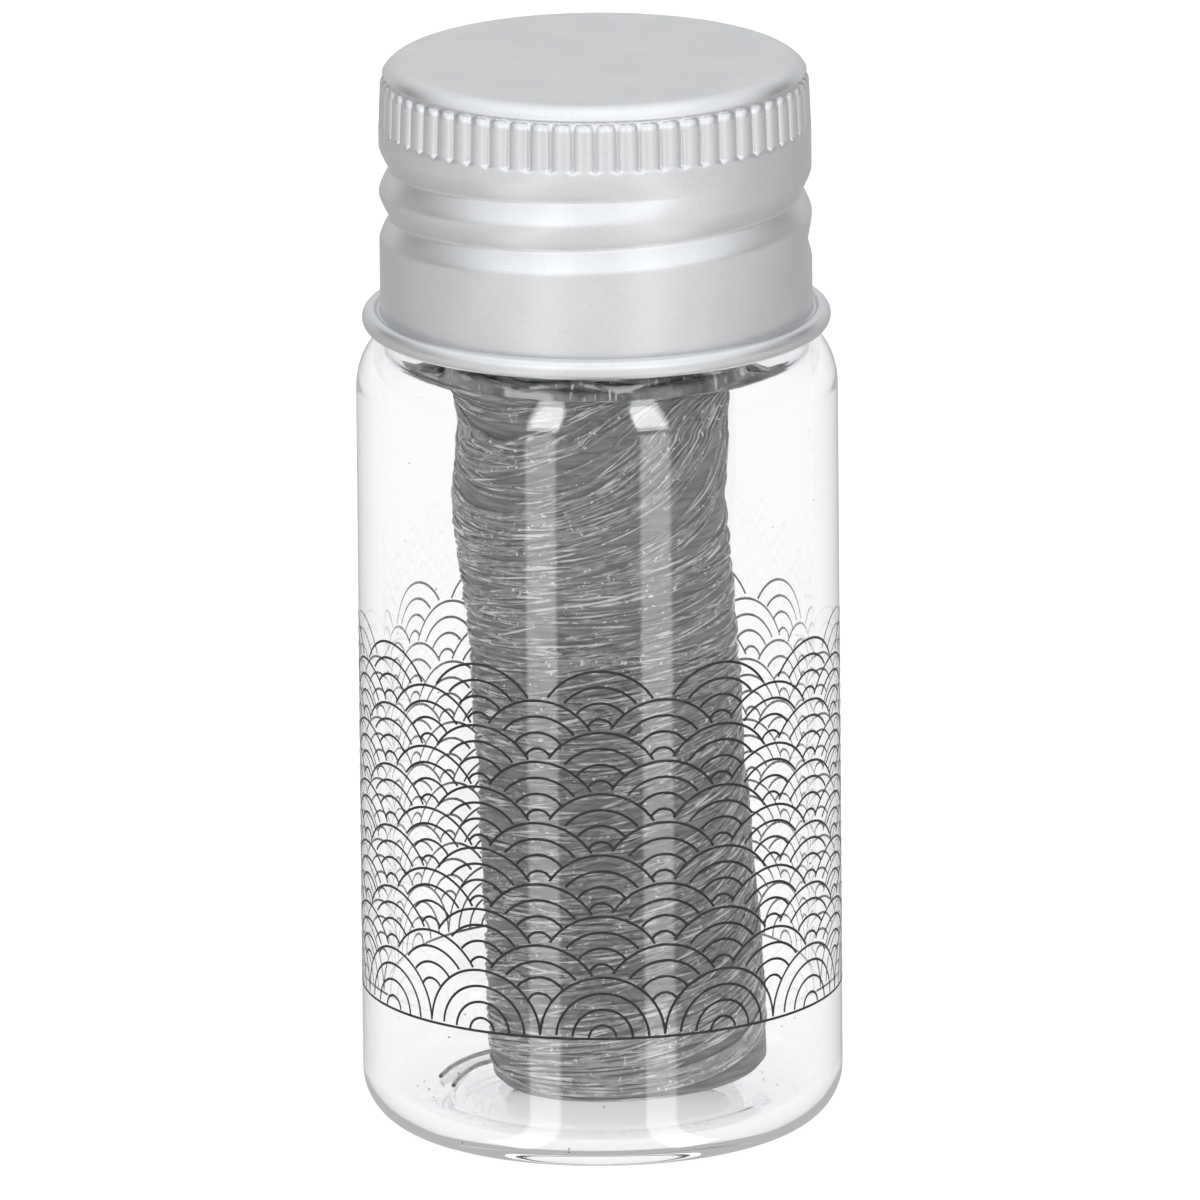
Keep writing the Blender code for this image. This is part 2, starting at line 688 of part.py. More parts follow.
def smooth_through(knots, spacing):
    """Evenly spaced points on a smooth curve through the knots, and the curve's length."""
    ends = [2 * knots[0] - knots[1], *knots, 2 * knots[-1] - knots[-2]]
    fine = []
    for a, b, c, d in zip(ends, ends[1:], ends[2:], ends[3:]):
        fine += [spline_point(a, b, c, d, i / SPLINE_STEPS) for i in range(SPLINE_STEPS)]
    fine.append(knots[-1])
    length = sum((q - p).length for p, q in zip(fine, fine[1:]))
    step = length / round(length / spacing)
    points = [fine[0]]
    travelled = 0.0
    for p, q in zip(fine, fine[1:]):
        before = travelled
        travelled += (q - p).length
        while travelled > len(points) * step:
            points.append(p.lerp(q, (len(points) * step - before) / (travelled - before)))
    points.append(fine[-1])
    return points, length


def make_floss_end(collection, floss):
    """The free end: through the insert's hole and round its floor, under the cap."""
    knots = [Vector(point) * MM for point in FLOSS_END_ROUTE]
    points, length = smooth_through(knots, FLOSS_END_STEP)
    print(f"floss end: {length / MM:.1f} mm long, {len(points)} points")
    return tube("floss_end", points, FLOSS_RADIUS, FLOSS_END_SIDES, collection, floss)


def main():
    clear_scene()
    parts = new_collection("floss_dispenser")
    cutters = new_collection("cutters")
    floss = finish("charcoal_floss", FLOSS_COLOUR, FLOSS_ROUGHNESS)
    make_vial(parts)
    axis = make_package_axis(parts)
    make_core(parts, axis, floss)
    make_outer_turns(parts, axis, floss)
    make_floss_end(parts, floss)
    make_insert(parts, cutters)
    make_liner(parts)
    make_cap(parts)


main()
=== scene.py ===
"""Looks of the dental floss dispenser: a tube-glass vial, its rolled aluminium cap and the floss inside."""
import json
import math
import random

import bmesh
import bpy
from mathutils import Matrix, Vector, noise


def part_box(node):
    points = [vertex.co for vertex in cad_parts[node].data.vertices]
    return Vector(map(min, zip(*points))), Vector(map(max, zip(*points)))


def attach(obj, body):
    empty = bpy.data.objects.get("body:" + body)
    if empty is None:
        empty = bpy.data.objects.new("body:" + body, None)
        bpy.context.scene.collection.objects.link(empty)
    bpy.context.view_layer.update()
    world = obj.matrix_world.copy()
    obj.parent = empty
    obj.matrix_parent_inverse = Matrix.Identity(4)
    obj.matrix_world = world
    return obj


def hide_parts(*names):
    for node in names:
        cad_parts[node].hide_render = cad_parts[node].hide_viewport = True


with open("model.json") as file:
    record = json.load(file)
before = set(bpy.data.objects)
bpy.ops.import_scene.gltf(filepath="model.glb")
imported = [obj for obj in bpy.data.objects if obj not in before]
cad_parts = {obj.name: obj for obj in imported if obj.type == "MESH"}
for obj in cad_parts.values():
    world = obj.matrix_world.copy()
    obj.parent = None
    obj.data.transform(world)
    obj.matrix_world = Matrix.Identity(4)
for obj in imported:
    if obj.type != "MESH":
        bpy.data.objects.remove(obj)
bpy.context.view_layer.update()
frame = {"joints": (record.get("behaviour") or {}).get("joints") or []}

# The photographer's place: a long lens a little above the vial, turned half a degree, so that the vial
# leans a touch to the left in the picture.
MM = 0.001
VIEW_ELEVATION = math.radians(14.7)
VIEW_ROLL = math.radians(-0.5)
VIEW_DISTANCE = 1.6
VIEW_CENTRE = Vector((0.05 * MM, 0.0, 24.35 * MM))
VIEW_WIDTH = 54.77 * MM
SENSOR_WIDTH = 36.0

camera_data = bpy.data.cameras.new("photo_camera")
camera_data.sensor_width = SENSOR_WIDTH
camera_data.lens = SENSOR_WIDTH * VIEW_DISTANCE / VIEW_WIDTH
camera = bpy.data.objects.new("photo_camera", camera_data)
bpy.context.scene.collection.objects.link(camera)
towards_vial = Vector((0.0, math.cos(VIEW_ELEVATION), -math.sin(VIEW_ELEVATION)))
aim = towards_vial.to_track_quat("-Z", "Y").to_matrix().to_4x4()
camera.matrix_world = (
    Matrix.Translation(VIEW_CENTRE - towards_vial * VIEW_DISTANCE)
    @ aim
    @ Matrix.Rotation(VIEW_ROLL, 4, "Z")
)
bpy.context.scene.camera = camera
bpy.context.scene.view_settings.view_transform = "Standard"


# The studio: a pale table below, two upright strip lights in front, a wide soft light over them, a paper
# screen behind and dim room between the screen and the lights. The camera sees plain white.
class Shade:
    """A socket in a node tree. Arithmetic on it adds Math nodes, and node() adds any other node."""

    def __init__(self, tree, socket=None):
        self.tree = tree
        self.socket = socket

    def node(self, kind, settings=None, inputs=None, output=0):
        """Adds a node: its settings first, then the values or links of its sockets."""
        made = self.tree.nodes.new("ShaderNode" + kind)
        for name, value in (settings or {}).items():
            setattr(made, name, value)
        for name, value in (inputs or {}).items():
            if isinstance(value, Shade):
                self.tree.links.new(value.socket, made.inputs[name])
            else:
                made.inputs[name].default_value = value
        return Shade(self.tree, made.outputs[output])

    def maths(self, operation, *values):
        return self.node("Math", {"operation": operation}, dict(enumerate(values)))

    def __add__(self, other):
        return self.maths("ADD", self, other)

    def __radd__(self, other):
        return self.maths("ADD", other, self)

    def __sub__(self, other):
        return self.maths("SUBTRACT", self, other)

    def __rsub__(self, other):
        return self.maths("SUBTRACT", other, self)

    def __mul__(self, other):
        return self.maths("MULTIPLY", self, other)

    def __rmul__(self, other):
        return self.maths("MULTIPLY", other, self)

    def rise(self, low, high):
        """0 below low, 1 above high, and smooth between them."""
        settings = {"interpolation_type": "SMOOTHSTEP"}
        return self.node("MapRange", settings, {"Value": self, "From Min": low, "From Max": high})

    def band(self, low, high, soft):
        """1 between low and high, with soft edges."""
        return self.rise(low - soft, low + soft) * (1 - self.rise(high - soft, high + soft))

    def blend(self, first, second):
        """The first colour where this is 0, the second where it is 1."""
        return self.node("Mix", {"data_type": "RGBA"}, {0: self, 6: first, 7: second}, 2)

    def axis(self, name):
        """One number of this place or direction: its X, Y or Z."""
        return self.node("SeparateXYZ", inputs={"Vector": self}, output=name)

    def grains(self, size, detail):
        """Noise at this place, in grains of about this size."""
        return self.node("TexNoise", inputs={"Vector": self, "Scale": 1 / size, "Detail": detail})

    def feed(self, shader, name):
        self.tree.links.new(self.socket, shader.inputs[name])

    def emboss(self, shader, distance, strength):
        """Raises the shader's surface by this height."""
        relief = {"Height": self, "Distance": distance, "Strength": strength}
        self.node("Bump", inputs=relief).feed(shader, "Normal")


def angle(degrees):
    return math.radians(degrees)


# Places are parts of a unit direction from the vial: how high it points, how far back, and how far aside.
# A turn is the cosine of the angle from the front, 1 in front and -1 behind.
TABLE_NEAR = 0.88
TABLE_FAR = 0.50
TABLE_EDGE_HEIGHTS = (-0.22, 0.22)
ROOM_LEVEL = 0.13
SIDE_LIGHT = 0.34
SIDE_LIGHT_TURNS = (-0.6, -0.36)
SIDE_LIGHT_HEIGHTS = (0.2, 0.36)
LOW_LIGHT = 0.32
LOW_LIGHT_TURNS = (-0.35, 0.0)
LOW_LIGHT_DEPTHS = (0.7, 0.84)
LOW_LIGHT_HEIGHTS = (0.24, 0.36)
SOFT_LIGHT = 0.8
SOFT_LIGHT_TURNS = (-0.35, 0.75)
SCREEN_LIGHT = 0.6
SCREEN_DEPTHS = (0.68, 0.8)
OVERHEAD_LEVEL = 1.05
OVERHEAD_HEIGHTS = (0.4, 0.78)
ZENITH_LIGHT = 0.25
ZENITH_HEIGHTS = (0.8, 0.97)
GLASS_DIMMING = 0.5
GLASS_DIMMING_TURNS = (-0.2, 0.6)
STRIP_LIGHT = 0.35
STRIP_GLINT = 8.8
STRIP_MIRRORED = 0.25
STRIP_MIRRORED_GLINT = 4.4
STRIP_INNER = 0.335
STRIP_INNER_LEAN = 0.14
STRIP_OUTER = 0.555
STRIP_OUTER_ROUND = 0.29
STRIP_HEIGHTS = (0.05, 0.84)
STRIP_LINE_HEIGHTS = (0.935, 0.965)
STRIP_SOFT_EDGE = 0.018
STRIP_BACK_EDGE = 0.02
MIRRORED_HEIGHTS = (-0.94, -0.05)
COOL_LIGHT = (0.975, 0.99, 1.0, 1.0)
WARM_LIGHT = (1.0, 0.995, 0.99, 1.0)
WHITE = (1.0, 1.0, 1.0, 1.0)
SECOND_PANE = 1.5
ANY_BOUNCE = 0.5

world = bpy.data.worlds.new("studio")
bpy.context.scene.world = world
world.use_nodes = True
tree = world.node_tree
tree.nodes.clear()
studio = Shade(tree)
direction = studio.node("TexCoord", output="Generated")
sideways = direction.axis("X")
depth = direction.axis("Y")
upward = direction.axis("Z")
turn_from_front = studio.maths("ABSOLUTE", studio.maths("ARCTAN2", sideways, depth * -1.0))
facing_front = studio.maths("COSINE", turn_from_front)

table = facing_front.rise(-1.0, 1.0) * (TABLE_NEAR - TABLE_FAR) + TABLE_FAR
side_light = facing_front.rise(*SIDE_LIGHT_TURNS) * upward.rise(*SIDE_LIGHT_HEIGHTS) * SIDE_LIGHT
low_sides = (1 - facing_front.rise(*LOW_LIGHT_TURNS)) * (1 - depth.rise(*LOW_LIGHT_DEPTHS))
low_light = low_sides * (1 - upward.rise(*LOW_LIGHT_HEIGHTS)) * LOW_LIGHT
lights = facing_front.rise(*SOFT_LIGHT_TURNS) * SOFT_LIGHT + side_light + low_light
screen = depth.rise(*SCREEN_DEPTHS) * SCREEN_LIGHT
around = lights + screen + ROOM_LEVEL
overhead = upward.rise(*OVERHEAD_HEIGHTS)
zenith = upward.rise(*ZENITH_HEIGHTS) * ZENITH_LIGHT
above = around * (1 - overhead) + overhead * OVERHEAD_LEVEL + zenith
over_table = upward.rise(*TABLE_EDGE_HEIGHTS)
climb = studio.maths("MAXIMUM", upward, 0.0)
strip_inner = STRIP_INNER - climb * STRIP_INNER_LEAN
strip_outer = STRIP_OUTER - climb * climb * STRIP_OUTER_ROUND
aside = studio.maths("ABSOLUTE", sideways)
inside_edge = (aside - strip_inner).rise(-STRIP_SOFT_EDGE, STRIP_SOFT_EDGE)
outside_edge = (strip_outer - aside).rise(-STRIP_SOFT_EDGE, STRIP_SOFT_EDGE)
strip_sides = inside_edge * outside_edge * (1 - depth.rise(-STRIP_BACK_EDGE, STRIP_BACK_EDGE))
sharp = studio.node("LightPath", output="Is Singular Ray")
strip_level = sharp * (STRIP_GLINT - STRIP_LIGHT) + STRIP_LIGHT
mirrored_level = sharp * (STRIP_MIRRORED_GLINT - STRIP_MIRRORED) + STRIP_MIRRORED
strip_heights = upward.band(*STRIP_HEIGHTS, STRIP_SOFT_EDGE)
strip_line = upward.band(*STRIP_LINE_HEIGHTS, STRIP_SOFT_EDGE)
strips = strip_sides * (strip_heights + strip_line) * strip_level
mirrored = strip_sides * upward.band(*MIRRORED_HEIGHTS, STRIP_SOFT_EDGE) * mirrored_level
glints = strips + mirrored
in_glass = 1 - sharp * facing_front.rise(*GLASS_DIMMING_TURNS) * GLASS_DIMMING
level = (table * (1 - over_table) + above * over_table) * in_glass + glints

camera_rays = studio.node("LightPath", output="Is Camera Ray")
glass_rays = studio.node("LightPath", output="Is Transmission Ray")
panes_passed = studio.node("LightPath", output="Transmission Depth")
inside_rays = studio.maths("GREATER_THAN", panes_passed, SECOND_PANE)
seen_white = studio.maths("MAXIMUM", camera_rays + glass_rays, inside_rays)
light_colour = over_table.blend(WARM_LIGHT, COOL_LIGHT)
lit = studio.node("Background", inputs={"Color": light_colour, "Strength": level})
bounces = studio.node("LightPath", output="Glossy Depth")
mirrored_before = studio.maths("GREATER_THAN", bounces, ANY_BOUNCE)
white_level = glints * mirrored_before + 1.0
white = studio.node("Background", inputs={"Color": WHITE, "Strength": white_level})
shown = studio.node("MixShader", inputs={0: seen_white, 1: lit, 2: white})
shown.feed(tree.nodes.new("ShaderNodeOutputWorld"), "Surface")

# The floor: white paper. It keeps the vial's soft shadow, and the light that it would throw back up is
# already in the studio's table.
FLOOR_SIZE = 4.0
FLOOR_PAPER = 0.34
FLOOR_GLOW = 0.79

paper_shape = bmesh.new()
bmesh.ops.create_grid(paper_shape, x_segments=1, y_segments=1, size=FLOOR_SIZE / 2)
floor_mesh = bpy.data.meshes.new("floor")
paper_shape.to_mesh(floor_mesh)
paper_shape.free()
floor = bpy.data.objects.new("floor", floor_mesh)
bpy.context.scene.collection.objects.link(floor)
floor.visible_diffuse = False
floor.visible_glossy = False
floor.visible_shadow = False
paper = bpy.data.materials.new("floor_paper")
paper.use_nodes = True
paper.node_tree.nodes.clear()
sheet = Shade(paper.node_tree)
matt = sheet.node("BsdfDiffuse", inputs={"Color": (FLOOR_PAPER, FLOOR_PAPER, FLOOR_PAPER, 1.0)})
glow = sheet.node("Emission", inputs={"Color": WHITE, "Strength": FLOOR_GLOW})
both = sheet.node("AddShader", inputs={0: matt, 1: glow})
both.feed(paper.node_tree.nodes.new("ShaderNodeOutputMaterial"), "Surface")
floor_mesh.materials.append(paper)


# The free end of the floss: a limp waxed thread of 0.5 mm. It comes up from the package through the hole of
# the insert, over in a low hump and once round the insert's floor, under the cap.
FLOSS_DIAMETER = 0.5 * MM
MERGE_DISTANCE = 0.0005 * MM
ROUTE_STEPS = 8
FLOSS_END_SIDES = 12
FLOSS_END_ROUTE = [
    (-1.09, 0.00, 43.60),
    (-1.10, 0.00, 44.10),
    (-0.97, 0.00, 44.62),
    (-0.70, 0.00, 45.12),
    (-0.40, -0.04, 45.60),
    (0.00, -0.12, 46.00),
    (0.50, -0.28, 46.24),
    (1.10, -0.50, 46.28),
    (1.80, -0.82, 46.14),
    (2.60, -1.22, 46.00),
    (3.45, -1.50, 45.95),
    (4.30, -1.45, 45.95),
    (4.95, -0.90, 45.95),
    (5.28, 0.05, 45.95),
    (5.20, 1.38, 45.95),
    (4.58, 2.85, 45.95),
    (3.48, 4.10, 45.95),
    (2.00, 4.92, 45.95),
    (0.37, 5.24, 45.95),
    (-1.29, 5.12, 45.95),
    (-2.85, 4.52, 45.95),
    (-4.12, 3.43, 45.95),
    (-4.95, 1.95, 45.95),
    (-5.22, 0.30, 45.95),
    (-4.98, -1.35, 45.95),
    (-4.28, -2.80, 45.95),
    (-3.30, -3.82, 45.95),
    (-2.15, -4.50, 45.95),
]


def screen_colour(red, green, blue):
    """A colour as it looks on a screen, from 0 to 255 a channel, in the renderer's linear values."""
    linear = []
    for channel in (red, green, blue):
        share = channel / 255
        linear.append(share / 12.92 if share <= 0.04045 else ((share + 0.055) / 1.055) ** 2.4)
    return (*linear, 1.0)


def finish(name, **settings):
    """A new Principled material, with its tree to add nodes to and its shader."""
    material = bpy.data.materials.new(name)
    material.use_nodes = True
    shader = material.node_tree.nodes["Principled BSDF"]
    for socket, value in settings.items():
        shader.inputs[socket.replace("_", " ")].default_value = value
    return material, Shade(material.node_tree), shader


# Charcoal floss: grey bamboo fibres pulled into waxed strands. The colour runs in streaks along a strand,
# with pale streaks and flecks on it that are partly wax and partly painted sheen highlights. The map's first
# number runs along the strand and the second round it.
FLOSS_DARK = screen_colour(92, 94, 94)
FLOSS_GREY = screen_colour(150, 152, 150)
FLOSS_SHADE = screen_colour(106, 108, 108)
# Pale colour of the smudges, and of the painted light on the floss's foot.
FLOSS_DUST_AND_FOOT_LIGHT = screen_colour(186, 188, 186)
# Pale colour of the wax and of the painted sheen highlights on the strands.
WAX_AND_SHEEN_PALE = screen_colour(222, 222, 218)
FIBRE_STRETCH = (0.9, 6.0, 1.0)
FIBRE_RANGE = (0.38, 0.60)
FIBRE_HEIGHT = 0.6
FIBRE_RELIEF = 0.03 * MM
WAX_AND_SHEEN_STRETCH = (0.55, 5.0, 1.0)
WAX_AND_SHEEN_START = (31.0, 7.0, 0.0)
WAX_AND_SHEEN_IN_PATCHES = 0.25
WAX_AND_SHEEN_RANGE = (0.66, 0.75)
WAX_AND_SHEEN_COVER = 0.85
WAX_GLOSS = 0.2
WAX_HEIGHT = 0.4
PATCH_SIZE = 1.5 * MM
PATCH_RANGE = (0.45, 0.62)
PATCH_SHADE = 0.6
WAX_AND_SHEEN_FLECK_SIZE = 0.22 * MM
WAX_AND_SHEEN_FLECK_RANGE = (0.64, 0.72)
SMUDGE_SIZE = 0.5 * MM
SMUDGE_RANGE = (0.48, 0.68)
SMUDGE_COVER = 0.35
FOOT_LIGHT_HEIGHTS = (1.5 * MM, 9.0 * MM)
FOOT_LIGHT_COVER = 0.4
FLOSS_ROUGHNESS = 0.52
FLOSS_EMBOSS = 0.6

floss_finish, floss_nodes, floss_shader = finish("charcoal_floss")
along = floss_nodes.node("UVMap", {"uv_map": "strand"})
stretch = {"Vector": along, "Scale": FIBRE_STRETCH}
fibre = floss_nodes.node("Mapping", {"vector_type": "POINT"}, stretch).grains(1.0, 3.0)
wax_and_sheen_stretch = {"Vector": along, "Scale": WAX_AND_SHEEN_STRETCH, "Location": WAX_AND_SHEEN_START}
wax_and_sheen_streaks = floss_nodes.node("Mapping", {"vector_type": "POINT"}, wax_and_sheen_stretch).grains(1.0, 4.0)
floss_place = floss_nodes.node("TexCoord", output="Object")
patches = floss_place.grains(PATCH_SIZE, 3.0)
# Painted sheen: the pale streaks and flecks stand for wax and also for painted highlights of light on the
# strands.
wax_and_sheen = (wax_and_sheen_streaks + patches * WAX_AND_SHEEN_IN_PATCHES).rise(*WAX_AND_SHEEN_RANGE)
charcoal = fibre.rise(*FIBRE_RANGE).blend(FLOSS_DARK, FLOSS_GREY)
shaded = (patches.rise(*PATCH_RANGE) * PATCH_SHADE).blend(charcoal, FLOSS_SHADE)
# Painted light: the floss is painted paler towards its foot, standing for light thrown up from the table and
# glass; the pale smudges lie at random.
low_down = 1 - floss_place.axis("Z").rise(*FOOT_LIGHT_HEIGHTS)
smudges = floss_place.grains(SMUDGE_SIZE, 4.0).rise(*SMUDGE_RANGE)
dusted_and_foot_lit = (low_down * FOOT_LIGHT_COVER + smudges * SMUDGE_COVER).blend(shaded, FLOSS_DUST_AND_FOOT_LIGHT)
wax_and_sheen_flecks = floss_place.grains(WAX_AND_SHEEN_FLECK_SIZE, 1.0).rise(*WAX_AND_SHEEN_FLECK_RANGE)
pale_wax_and_sheen = floss_nodes.maths("MAXIMUM", wax_and_sheen * WAX_AND_SHEEN_COVER, wax_and_sheen_flecks)
pale_wax_and_sheen.blend(dusted_and_foot_lit, WAX_AND_SHEEN_PALE).feed(floss_shader, "Base Color")
(FLOSS_ROUGHNESS - wax_and_sheen * WAX_GLOSS).feed(floss_shader, "Roughness")
(fibre * FIBRE_HEIGHT + wax_and_sheen * WAX_HEIGHT).emboss(floss_shader, FIBRE_RELIEF, FLOSS_EMBOSS)


def smooth_route(knots, steps):
    """Points on the smooth curve through the knots, with so many steps between two of them."""
    ends = [2 * knots[0] - knots[1], *knots, 2 * knots[-1] - knots[-2]]
    points = []
    for a, b, c, d in zip(ends, ends[1:], ends[2:], ends[3:]):
        for step in range(steps):
            t = step / steps
            bend = (2 * a - 5 * b + 4 * c - d) * t**2 + (3 * b - a - 3 * c + d) * t**3
            points.append((2 * b + (c - a) * t + bend) / 2)
    return [*points, knots[-1]]


def line_length(points):
    return sum((q - p).length for p, q in zip(points, points[1:]))


def tubes(name, lines, radius, sides):
    """One mesh of tubes, closed where a line thins to nought. Each line is (points, thickness at each point,
    start of its map).

    The map runs along a tube and round it in millimetres. A bevel of resolution n has 2n + 4 sides, and a
    side has one face of four corners between two points.
    """
    curve = bpy.data.curves.new(name, "CURVE")
    curve.dimensions = "3D"
    curve.bevel_depth = radius
    curve.bevel_resolution = sides // 2 - 2
    for points, thickness, _ in lines:
        spline = curve.splines.new("POLY")
        spline.points.add(len(points) - 1)
        for knot, point, thick in zip(spline.points, points, thickness):
            knot.co = (*point, 1.0)
            knot.radius = thick
    helper = bpy.data.objects.new(name, curve)
    bpy.context.scene.collection.objects.link(helper)
    mesh = bpy.data.meshes.new_from_object(helper.evaluated_get(bpy.context.evaluated_depsgraph_get()))
    bpy.data.objects.remove(helper)
    mesh.name = name
    drawn = mesh.uv_layers[0]
    drawn.name = "strand"
    girth = 2 * math.pi * radius / MM
    corner = 0
    for points, _, start in lines:
        length = line_length(points) / MM
        for _ in range((len(points) - 1) * sides * 4):
            along_share, round_share = drawn.data[corner].uv
            drawn.data[corner].uv = (start + along_share * length, start + round_share * girth)
            corner += 1
    shape = bmesh.new()
    shape.from_mesh(mesh)
    bmesh.ops.remove_doubles(shape, verts=shape.verts, dist=MERGE_DISTANCE)
    shape.to_mesh(mesh)
    shape.free()
    mesh.shade_smooth()
    return mesh


def piece_of(mesh, material, body):
    """Links a mesh as a piece that rides on a body."""
    piece = bpy.data.objects.new(mesh.name, mesh)
    bpy.context.scene.collection.objects.link(piece)
    mesh.materials.clear()
    mesh.materials.append(material)
    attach(piece, body)
    return piece


end_route = smooth_route([Vector(point) * MM for point in FLOSS_END_ROUTE], ROUTE_STEPS)
end_thickness = [1.0] * len(end_route)
end_thickness[0] = end_thickness[-1] = 0.0
end_line = (end_route, end_thickness, 0.0)
end_mesh = tubes("floss_end_thread", [end_line], FLOSS_DIAMETER / 2, FLOSS_END_SIDES)
floss_end = piece_of(end_mesh, floss_finish, "vial")
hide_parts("floss_end")
line_length(end_route)


# The vial: clear tube glass with a pushed-up base, a drawn-in shoulder, a threaded neck and a fire-polished
# rim, formed in one from the tube. Its print stands in the outermost hundredths, so the wall is drawn that
# much smaller.
PRINT_ROOM = 0.02 * MM
VIAL_WALL = 1.1 * MM
VIAL_BASE = 1.8 * MM
HEEL_RADIUS = 2.5 * MM
BASE_PUSH_UP = 0.5 * MM
BASE_CROWN = 0.05 * MM
BASE_SLOPE_RUN = 1.0 * MM
BASE_RING_WIDTH = 1.5 * MM
RING_ROUND_WIDTH = 0.75 * MM
RING_ROUND_HEIGHT = 0.36 * MM
RING_ROUND_FROM = angle(-150.0)
BASE_EDGE_HEIGHT = 1.15 * MM
NECK_LENGTH = 10.5 * MM
NECK_RADIUS = 8.75 * MM
NECK_WALL = 1.35 * MM
NECK_FILLET = 0.35 * MM
SHOULDER_DROP = 2.6 * MM
INNER_SLOPE = angle(62.0)
BORE_ROUND = 0.8 * MM
RIM_RADIUS = 0.45 * MM
THREAD_PITCH = 2.25 * MM
THREAD_HEIGHT = 0.6 * MM
THREAD_DATUM = 44.75 * MM
THREAD_ROW = 0.15 * MM
RIDGE_FROM = angle(-330.0)
RIDGE_TO = angle(215.0)
RIDGE_FADE = angle(30.0)
RIDGE_HALF_WIDTH = 0.6975 * MM
VIAL_STEPS = 192
SMALL_ARC_STEPS = 8
BORE_STEPS = 10
INNER_HEEL_STEPS = 16
HEEL_STEPS = 20
SHOULDER_STEPS = 24
INNER_SHOULDER_STEPS = 20
FILLET_STEPS = 6
FULL_TURN = 2 * math.pi
HALF_TURN = math.pi
QUARTER_TURN = math.pi / 2

vial_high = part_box("glass_vial")[1]
vial_radius = vial_high.x - PRINT_ROOM
rim_height = vial_high.z
shoulder_height = rim_height - NECK_LENGTH
bore_radius = NECK_RADIUS - NECK_WALL
vial_inner_radius = vial_radius - VIAL_WALL


def arc(centre, across, up, first, last, steps):
    """Points of an arc in the profile plane, both ends included."""
    points = []
    for step in range(steps + 1):
        turn = first + (last - first) * step / steps
        points.append((centre[0] + across * math.cos(turn), centre[1] + up * math.sin(turn)))
    return points


def rows(top, bottom, spacing):
    count = max(1, math.ceil((top - bottom) / spacing))
    return [top + (bottom - top) * row / count for row in range(count + 1)]


def turn_on_axis(profile, steps):
    """A bmesh turned about Z from an outline of (radius, height) pairs."""
    shape = bmesh.new()
    corners = [shape.verts.new((radius, 0.0, height)) for radius, height in profile]
    sides = [shape.edges.new(pair) for pair in zip(corners, corners[1:])]
    bmesh.ops.spin(
        shape,
        geom=corners + sides,
        cent=(0.0, 0.0, 0.0),
        axis=(0.0, 0.0, 1.0),
        angle=FULL_TURN,
        steps=steps,
        use_merge=True,
    )
    bmesh.ops.remove_doubles(shape, verts=shape.verts, dist=MERGE_DISTANCE)
    bmesh.ops.recalc_face_normals(shape, faces=shape.faces)
    return shape


def near_helix(vertex, datum, first, last, fade, half_width):
    """1 on a thread's line, 0 at half_width above or below it, and less towards the thread's ends."""
    nearest = 0.0
    round_axis = math.atan2(vertex.co.y, vertex.co.x)
    turn = round_axis + FULL_TURN * math.ceil((first - round_axis) / FULL_TURN)
    while turn <= last:
        away = abs(vertex.co.z - datum - THREAD_PITCH * turn / FULL_TURN)
        strength = min(1.0, (turn - first) / fade, (last - turn) / fade)
        nearest = max(nearest, strength * max(0.0, 1 - away / half_width))
        turn += FULL_TURN
    return nearest


def move_out(vertex, distance):
    radius = math.hypot(vertex.co.x, vertex.co.y)
    vertex.co.x *= 1 + distance / radius
    vertex.co.y *= 1 + distance / radius


def mesh_from(shape, name):
    mesh = bpy.data.meshes.new(name)
    shape.to_mesh(mesh)
    shape.free()
    mesh.shade_smooth()
    return mesh


ring_outer = vial_radius - HEEL_RADIUS
ring_inner = ring_outer - BASE_RING_WIDTH
neck_foot = NECK_RADIUS + NECK_FILLET
inner_heel = HEEL_RADIUS - VIAL_WALL
shoulder_foot = shoulder_height - SHOULDER_DROP
inner_across = vial_inner_radius - neck_foot
inner_up = SHOULDER_DROP - VIAL_WALL
inner_turn = math.atan(math.tan(INNER_SLOPE) * inner_up / inner_across)
slope_foot_radius = neck_foot + inner_across * math.cos(inner_turn)
slope_foot_height = shoulder_foot + inner_up * math.sin(inner_turn)
slope_head = bore_radius + BORE_ROUND * (1 - math.cos(INNER_SLOPE))
slope_top = slope_foot_height + (slope_foot_radius - slope_head) / math.tan(INNER_SLOPE)
bore_end = slope_top + BORE_ROUND * math.sin(INNER_SLOPE)
rim_centre = rim_height - RIM_RADIUS
ring_round = (RING_ROUND_WIDTH, RING_ROUND_HEIGHT, RING_ROUND_FROM, -QUARTER_TURN, SMALL_ARC_STEPS)
vial_outline = [(0.0, BASE_PUSH_UP), (ring_inner - BASE_SLOPE_RUN, BASE_PUSH_UP - BASE_CROWN)]
vial_outline += arc((ring_inner, RING_ROUND_HEIGHT), *ring_round)
vial_outline += arc((ring_outer, HEEL_RADIUS), HEEL_RADIUS, HEEL_RADIUS, -QUARTER_TURN, 0.0, HEEL_STEPS)
shoulder_round = (vial_radius - neck_foot, SHOULDER_DROP, 0.0, QUARTER_TURN, SHOULDER_STEPS)
vial_outline += arc((neck_foot, shoulder_foot), *shoulder_round)
fillet_round = (NECK_FILLET, NECK_FILLET, -QUARTER_TURN, -HALF_TURN, FILLET_STEPS)
vial_outline += arc((neck_foot, shoulder_height + NECK_FILLET), *fillet_round)[1:]
thread_rows = rows(rim_centre - THREAD_ROW, shoulder_height + 2 * NECK_FILLET, THREAD_ROW)
vial_outline += [(NECK_RADIUS, height) for height in reversed(thread_rows)]
outer_rim = (RIM_RADIUS, RIM_RADIUS, 0.0, QUARTER_TURN, SMALL_ARC_STEPS)
vial_outline += arc((NECK_RADIUS - RIM_RADIUS, rim_centre), *outer_rim)
inner_rim = (RIM_RADIUS, RIM_RADIUS, QUARTER_TURN, HALF_TURN, SMALL_ARC_STEPS)
